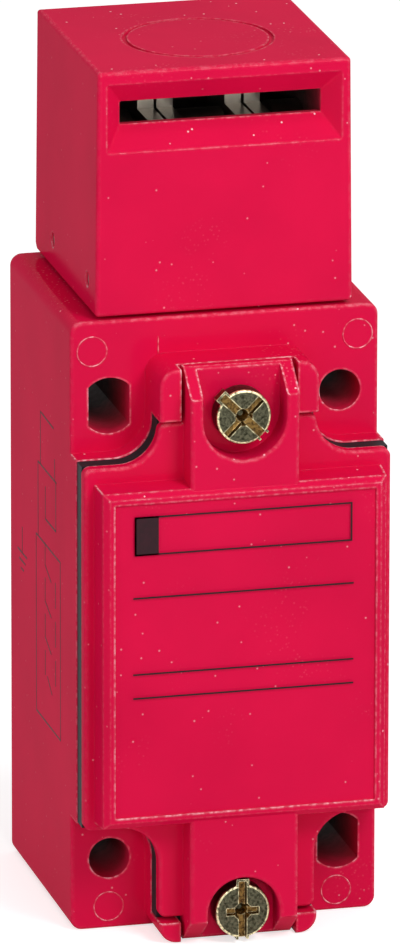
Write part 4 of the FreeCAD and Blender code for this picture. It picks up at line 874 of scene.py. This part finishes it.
CAMERA_AZIMUTH, CAMERA_ELEVATION, CAMERA_ROLL = -14.13, 16.92, 0.09     # degrees
CAMERA_DISTANCE = 1.594
CAMERA_TARGET = Vector((0.00005, -0.020, 0.01614))
LENS, SENSOR = 475.4, 36.0
NEAR_LIMIT, FAR_LIMIT = 0.05, 20.0
# Each lamp: name, azimuth, elevation, distance, width, height, watts and the place it lights.
LAMPS = (
    ("key_softbox", 22, 35, 0.38, 0.12, 0.12, 0.62, (0, -0.016, 0.045)),
    ("front_glint", -6, 9, 0.5, 0.05, 0.05, 0.35, (0, -0.03, 0.067)),
    ("left_fill", -75, 15, 1.3, 0.6, 0.9, 2.6, (0, -0.016, 0.015)),
    ("top_glint", 10, 76, 0.7, 0.1, 0.06, 0.6, (0, -0.016, 0.015)),
)
AMBIENT = 0.42              # strength of the world's light on the object
PAPER_LIFT = 0.62           # what the eye sees beyond the paper's own light
FLOOR_RADIUS, FLOOR_SIDES = 4.0, 64
FLOOR_GAP = 0.05 * MM       # keeps the paper's face off the casting's


def outward(azimuth, elevation):
    """The direction from the object to a place given in degrees, 0 being the front."""
    turn, lift = math.radians(azimuth), math.radians(elevation)
    return Vector((math.sin(turn) * math.cos(lift), -math.cos(turn) * math.cos(lift),
                   math.sin(lift)))


def place_camera():
    """A long lens in front of the switch, a little to its left and above."""
    back = outward(CAMERA_AZIMUTH, CAMERA_ELEVATION)
    bpy.ops.object.camera_add(location=CAMERA_TARGET + back * CAMERA_DISTANCE)
    camera = bpy.context.object
    camera.name = "studio_camera"
    camera.rotation_mode = "QUATERNION"
    camera.rotation_quaternion = (-back).to_track_quat("-Z", "Y")
    camera.rotation_mode = "XYZ"
    camera.rotation_euler.rotate_axis("Z", math.radians(CAMERA_ROLL))
    camera.data.lens = LENS
    camera.data.sensor_width = SENSOR
    camera.data.clip_start, camera.data.clip_end = NEAR_LIMIT, FAR_LIMIT
    bpy.context.scene.camera = camera


def softbox(name, azimuth, elevation, distance, wide, high, watts, target):
    """A rectangular lamp that points at the object and isn't seen itself."""
    back = outward(azimuth, elevation)
    bpy.ops.object.light_add(type="AREA", location=Vector(target) + back * distance)
    lamp = bpy.context.object
    lamp.name = name
    lamp.rotation_euler = (-back).to_track_quat("-Z", "Y").to_euler()
    lamp.data.shape = "RECTANGLE"
    lamp.data.size, lamp.data.size_y = wide, high
    lamp.data.energy = watts
    lamp.visible_camera = False


def seen_ray(tree):
    """1 for rays that show the background: from the camera, or off metal and glass."""
    path = add(tree, "ShaderNodeLightPath")
    either = add(tree, "ShaderNodeMath", {0: path.outputs["Is Camera Ray"],
                                          1: path.outputs["Is Glossy Ray"]},
                 operation="MAXIMUM")
    return add(tree, "ShaderNodeMath", {0: either.outputs[0],
                                        1: path.outputs["Is Transmission Ray"]},
               operation="MAXIMUM").outputs[0]


def studio_world():
    """A world that is white to the eye and plain light to the object."""
    world = bpy.data.worlds.new("studio_world")
    bpy.context.scene.world = world
    world.use_nodes = True
    tree = world.node_tree
    tree.nodes.clear()
    strength = add(tree, "ShaderNodeMapRange", {"Value": seen_ray(tree), "To Min": AMBIENT,
                                                "To Max": 1.0})
    light = add(tree, "ShaderNodeBackground", {"Color": (1, 1, 1, 1),
                                               "Strength": strength.outputs[0]})
    add(tree, "ShaderNodeOutputWorld", {"Surface": light.outputs[0]})


def floor_material():
    """Matt paper: pale to the light, white to the eye, and darker in the object's shadow."""
    material, tree = blank("matt_background_paper")
    place = add(tree, "ShaderNodeTexCoord").outputs["Object"]
    tooth = add(tree, "ShaderNodeTexNoise", {"Vector": place, "Scale": per(0.8)})
    bump = add(tree, "ShaderNodeBump", {"Height": tooth.outputs["Fac"], "Distance": 0.02 * MM,
                                        "Strength": 0.3})
    paper = add(tree, "ShaderNodeBsdfDiffuse", {"Color": colours().floor,
                                                "Normal": bump.outputs[0]})
    share = add(tree, "ShaderNodeMath", {0: seen_ray(tree), 1: PAPER_LIFT},
                operation="MULTIPLY")
    lift = add(tree, "ShaderNodeEmission", {"Color": (1, 1, 1, 1),
                                            "Strength": share.outputs[0]})
    close(tree, add(tree, "ShaderNodeAddShader", {0: paper.outputs[0], 1: lift.outputs[0]}))
    return material


class INTERLOCK_OT_stage(bpy.types.Operator):
    """Set the camera, the lamps, the floor and the background"""

    bl_idname = "interlock.stage"
    bl_label = "Set the Stage"

    def execute(self, context):
        start_clean()
        place_camera()
        for lamp in LAMPS:
            softbox(*lamp)
        studio_world()
        bpy.ops.mesh.primitive_circle_add(vertices=FLOOR_SIDES, radius=FLOOR_RADIUS,
                                          fill_type="NGON",
                                          location=(0, 0, CAD_BOX[0].z - FLOOR_GAP))
        floor = bpy.context.object
        floor.name = "studio_floor"
        floor.data.materials.append(floor_material())
        context.scene.view_settings.view_transform = "Standard"
        return {"FINISHED"}


# ------------------------------------------------------------------ panel and registration

class INTERLOCK_PT_panel(bpy.types.Panel):
    """Lists the sizes, the colours and the pieces"""

    bl_idname = "INTERLOCK_PT_panel"
    bl_label = "Tongue Interlock Switch"
    bl_space_type = "VIEW_3D"
    bl_region_type = "UI"
    bl_category = "Interlock"

    def draw(self, context):
        for group in (context.scene.interlock_sizes, context.scene.interlock_colours):
            box = self.layout.box()
            for name in group.__annotations__:
                box.prop(group, name)
        for operator in OPERATORS:
            self.layout.operator(operator.bl_idname)


OPERATORS = (
    INTERLOCK_OT_castings,
    INTERLOCK_OT_mechanism,
    INTERLOCK_OT_cover_screws,
    INTERLOCK_OT_die_marks,
    INTERLOCK_OT_print,
    INTERLOCK_OT_stage,
)
CLASSES = (InterlockSizes, InterlockColours, *OPERATORS, INTERLOCK_PT_panel)


def register():
    """Adds the classes and the scene's two groups of settings."""
    for item in CLASSES:
        bpy.utils.register_class(item)
    bpy.types.Scene.interlock_sizes = bpy.props.PointerProperty(type=InterlockSizes)
    bpy.types.Scene.interlock_colours = bpy.props.PointerProperty(type=InterlockColours)


def unregister():
    """Takes both groups and the classes away again."""
    del bpy.types.Scene.interlock_colours
    del bpy.types.Scene.interlock_sizes
    for item in reversed(CLASSES):
        bpy.utils.unregister_class(item)


def main():
    """Registers the add-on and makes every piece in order."""
    register()
    for operator in OPERATORS:
        group, name = operator.bl_idname.split(".")
        getattr(getattr(bpy.ops, group), name)()


if __name__ == "__main__":
    main()
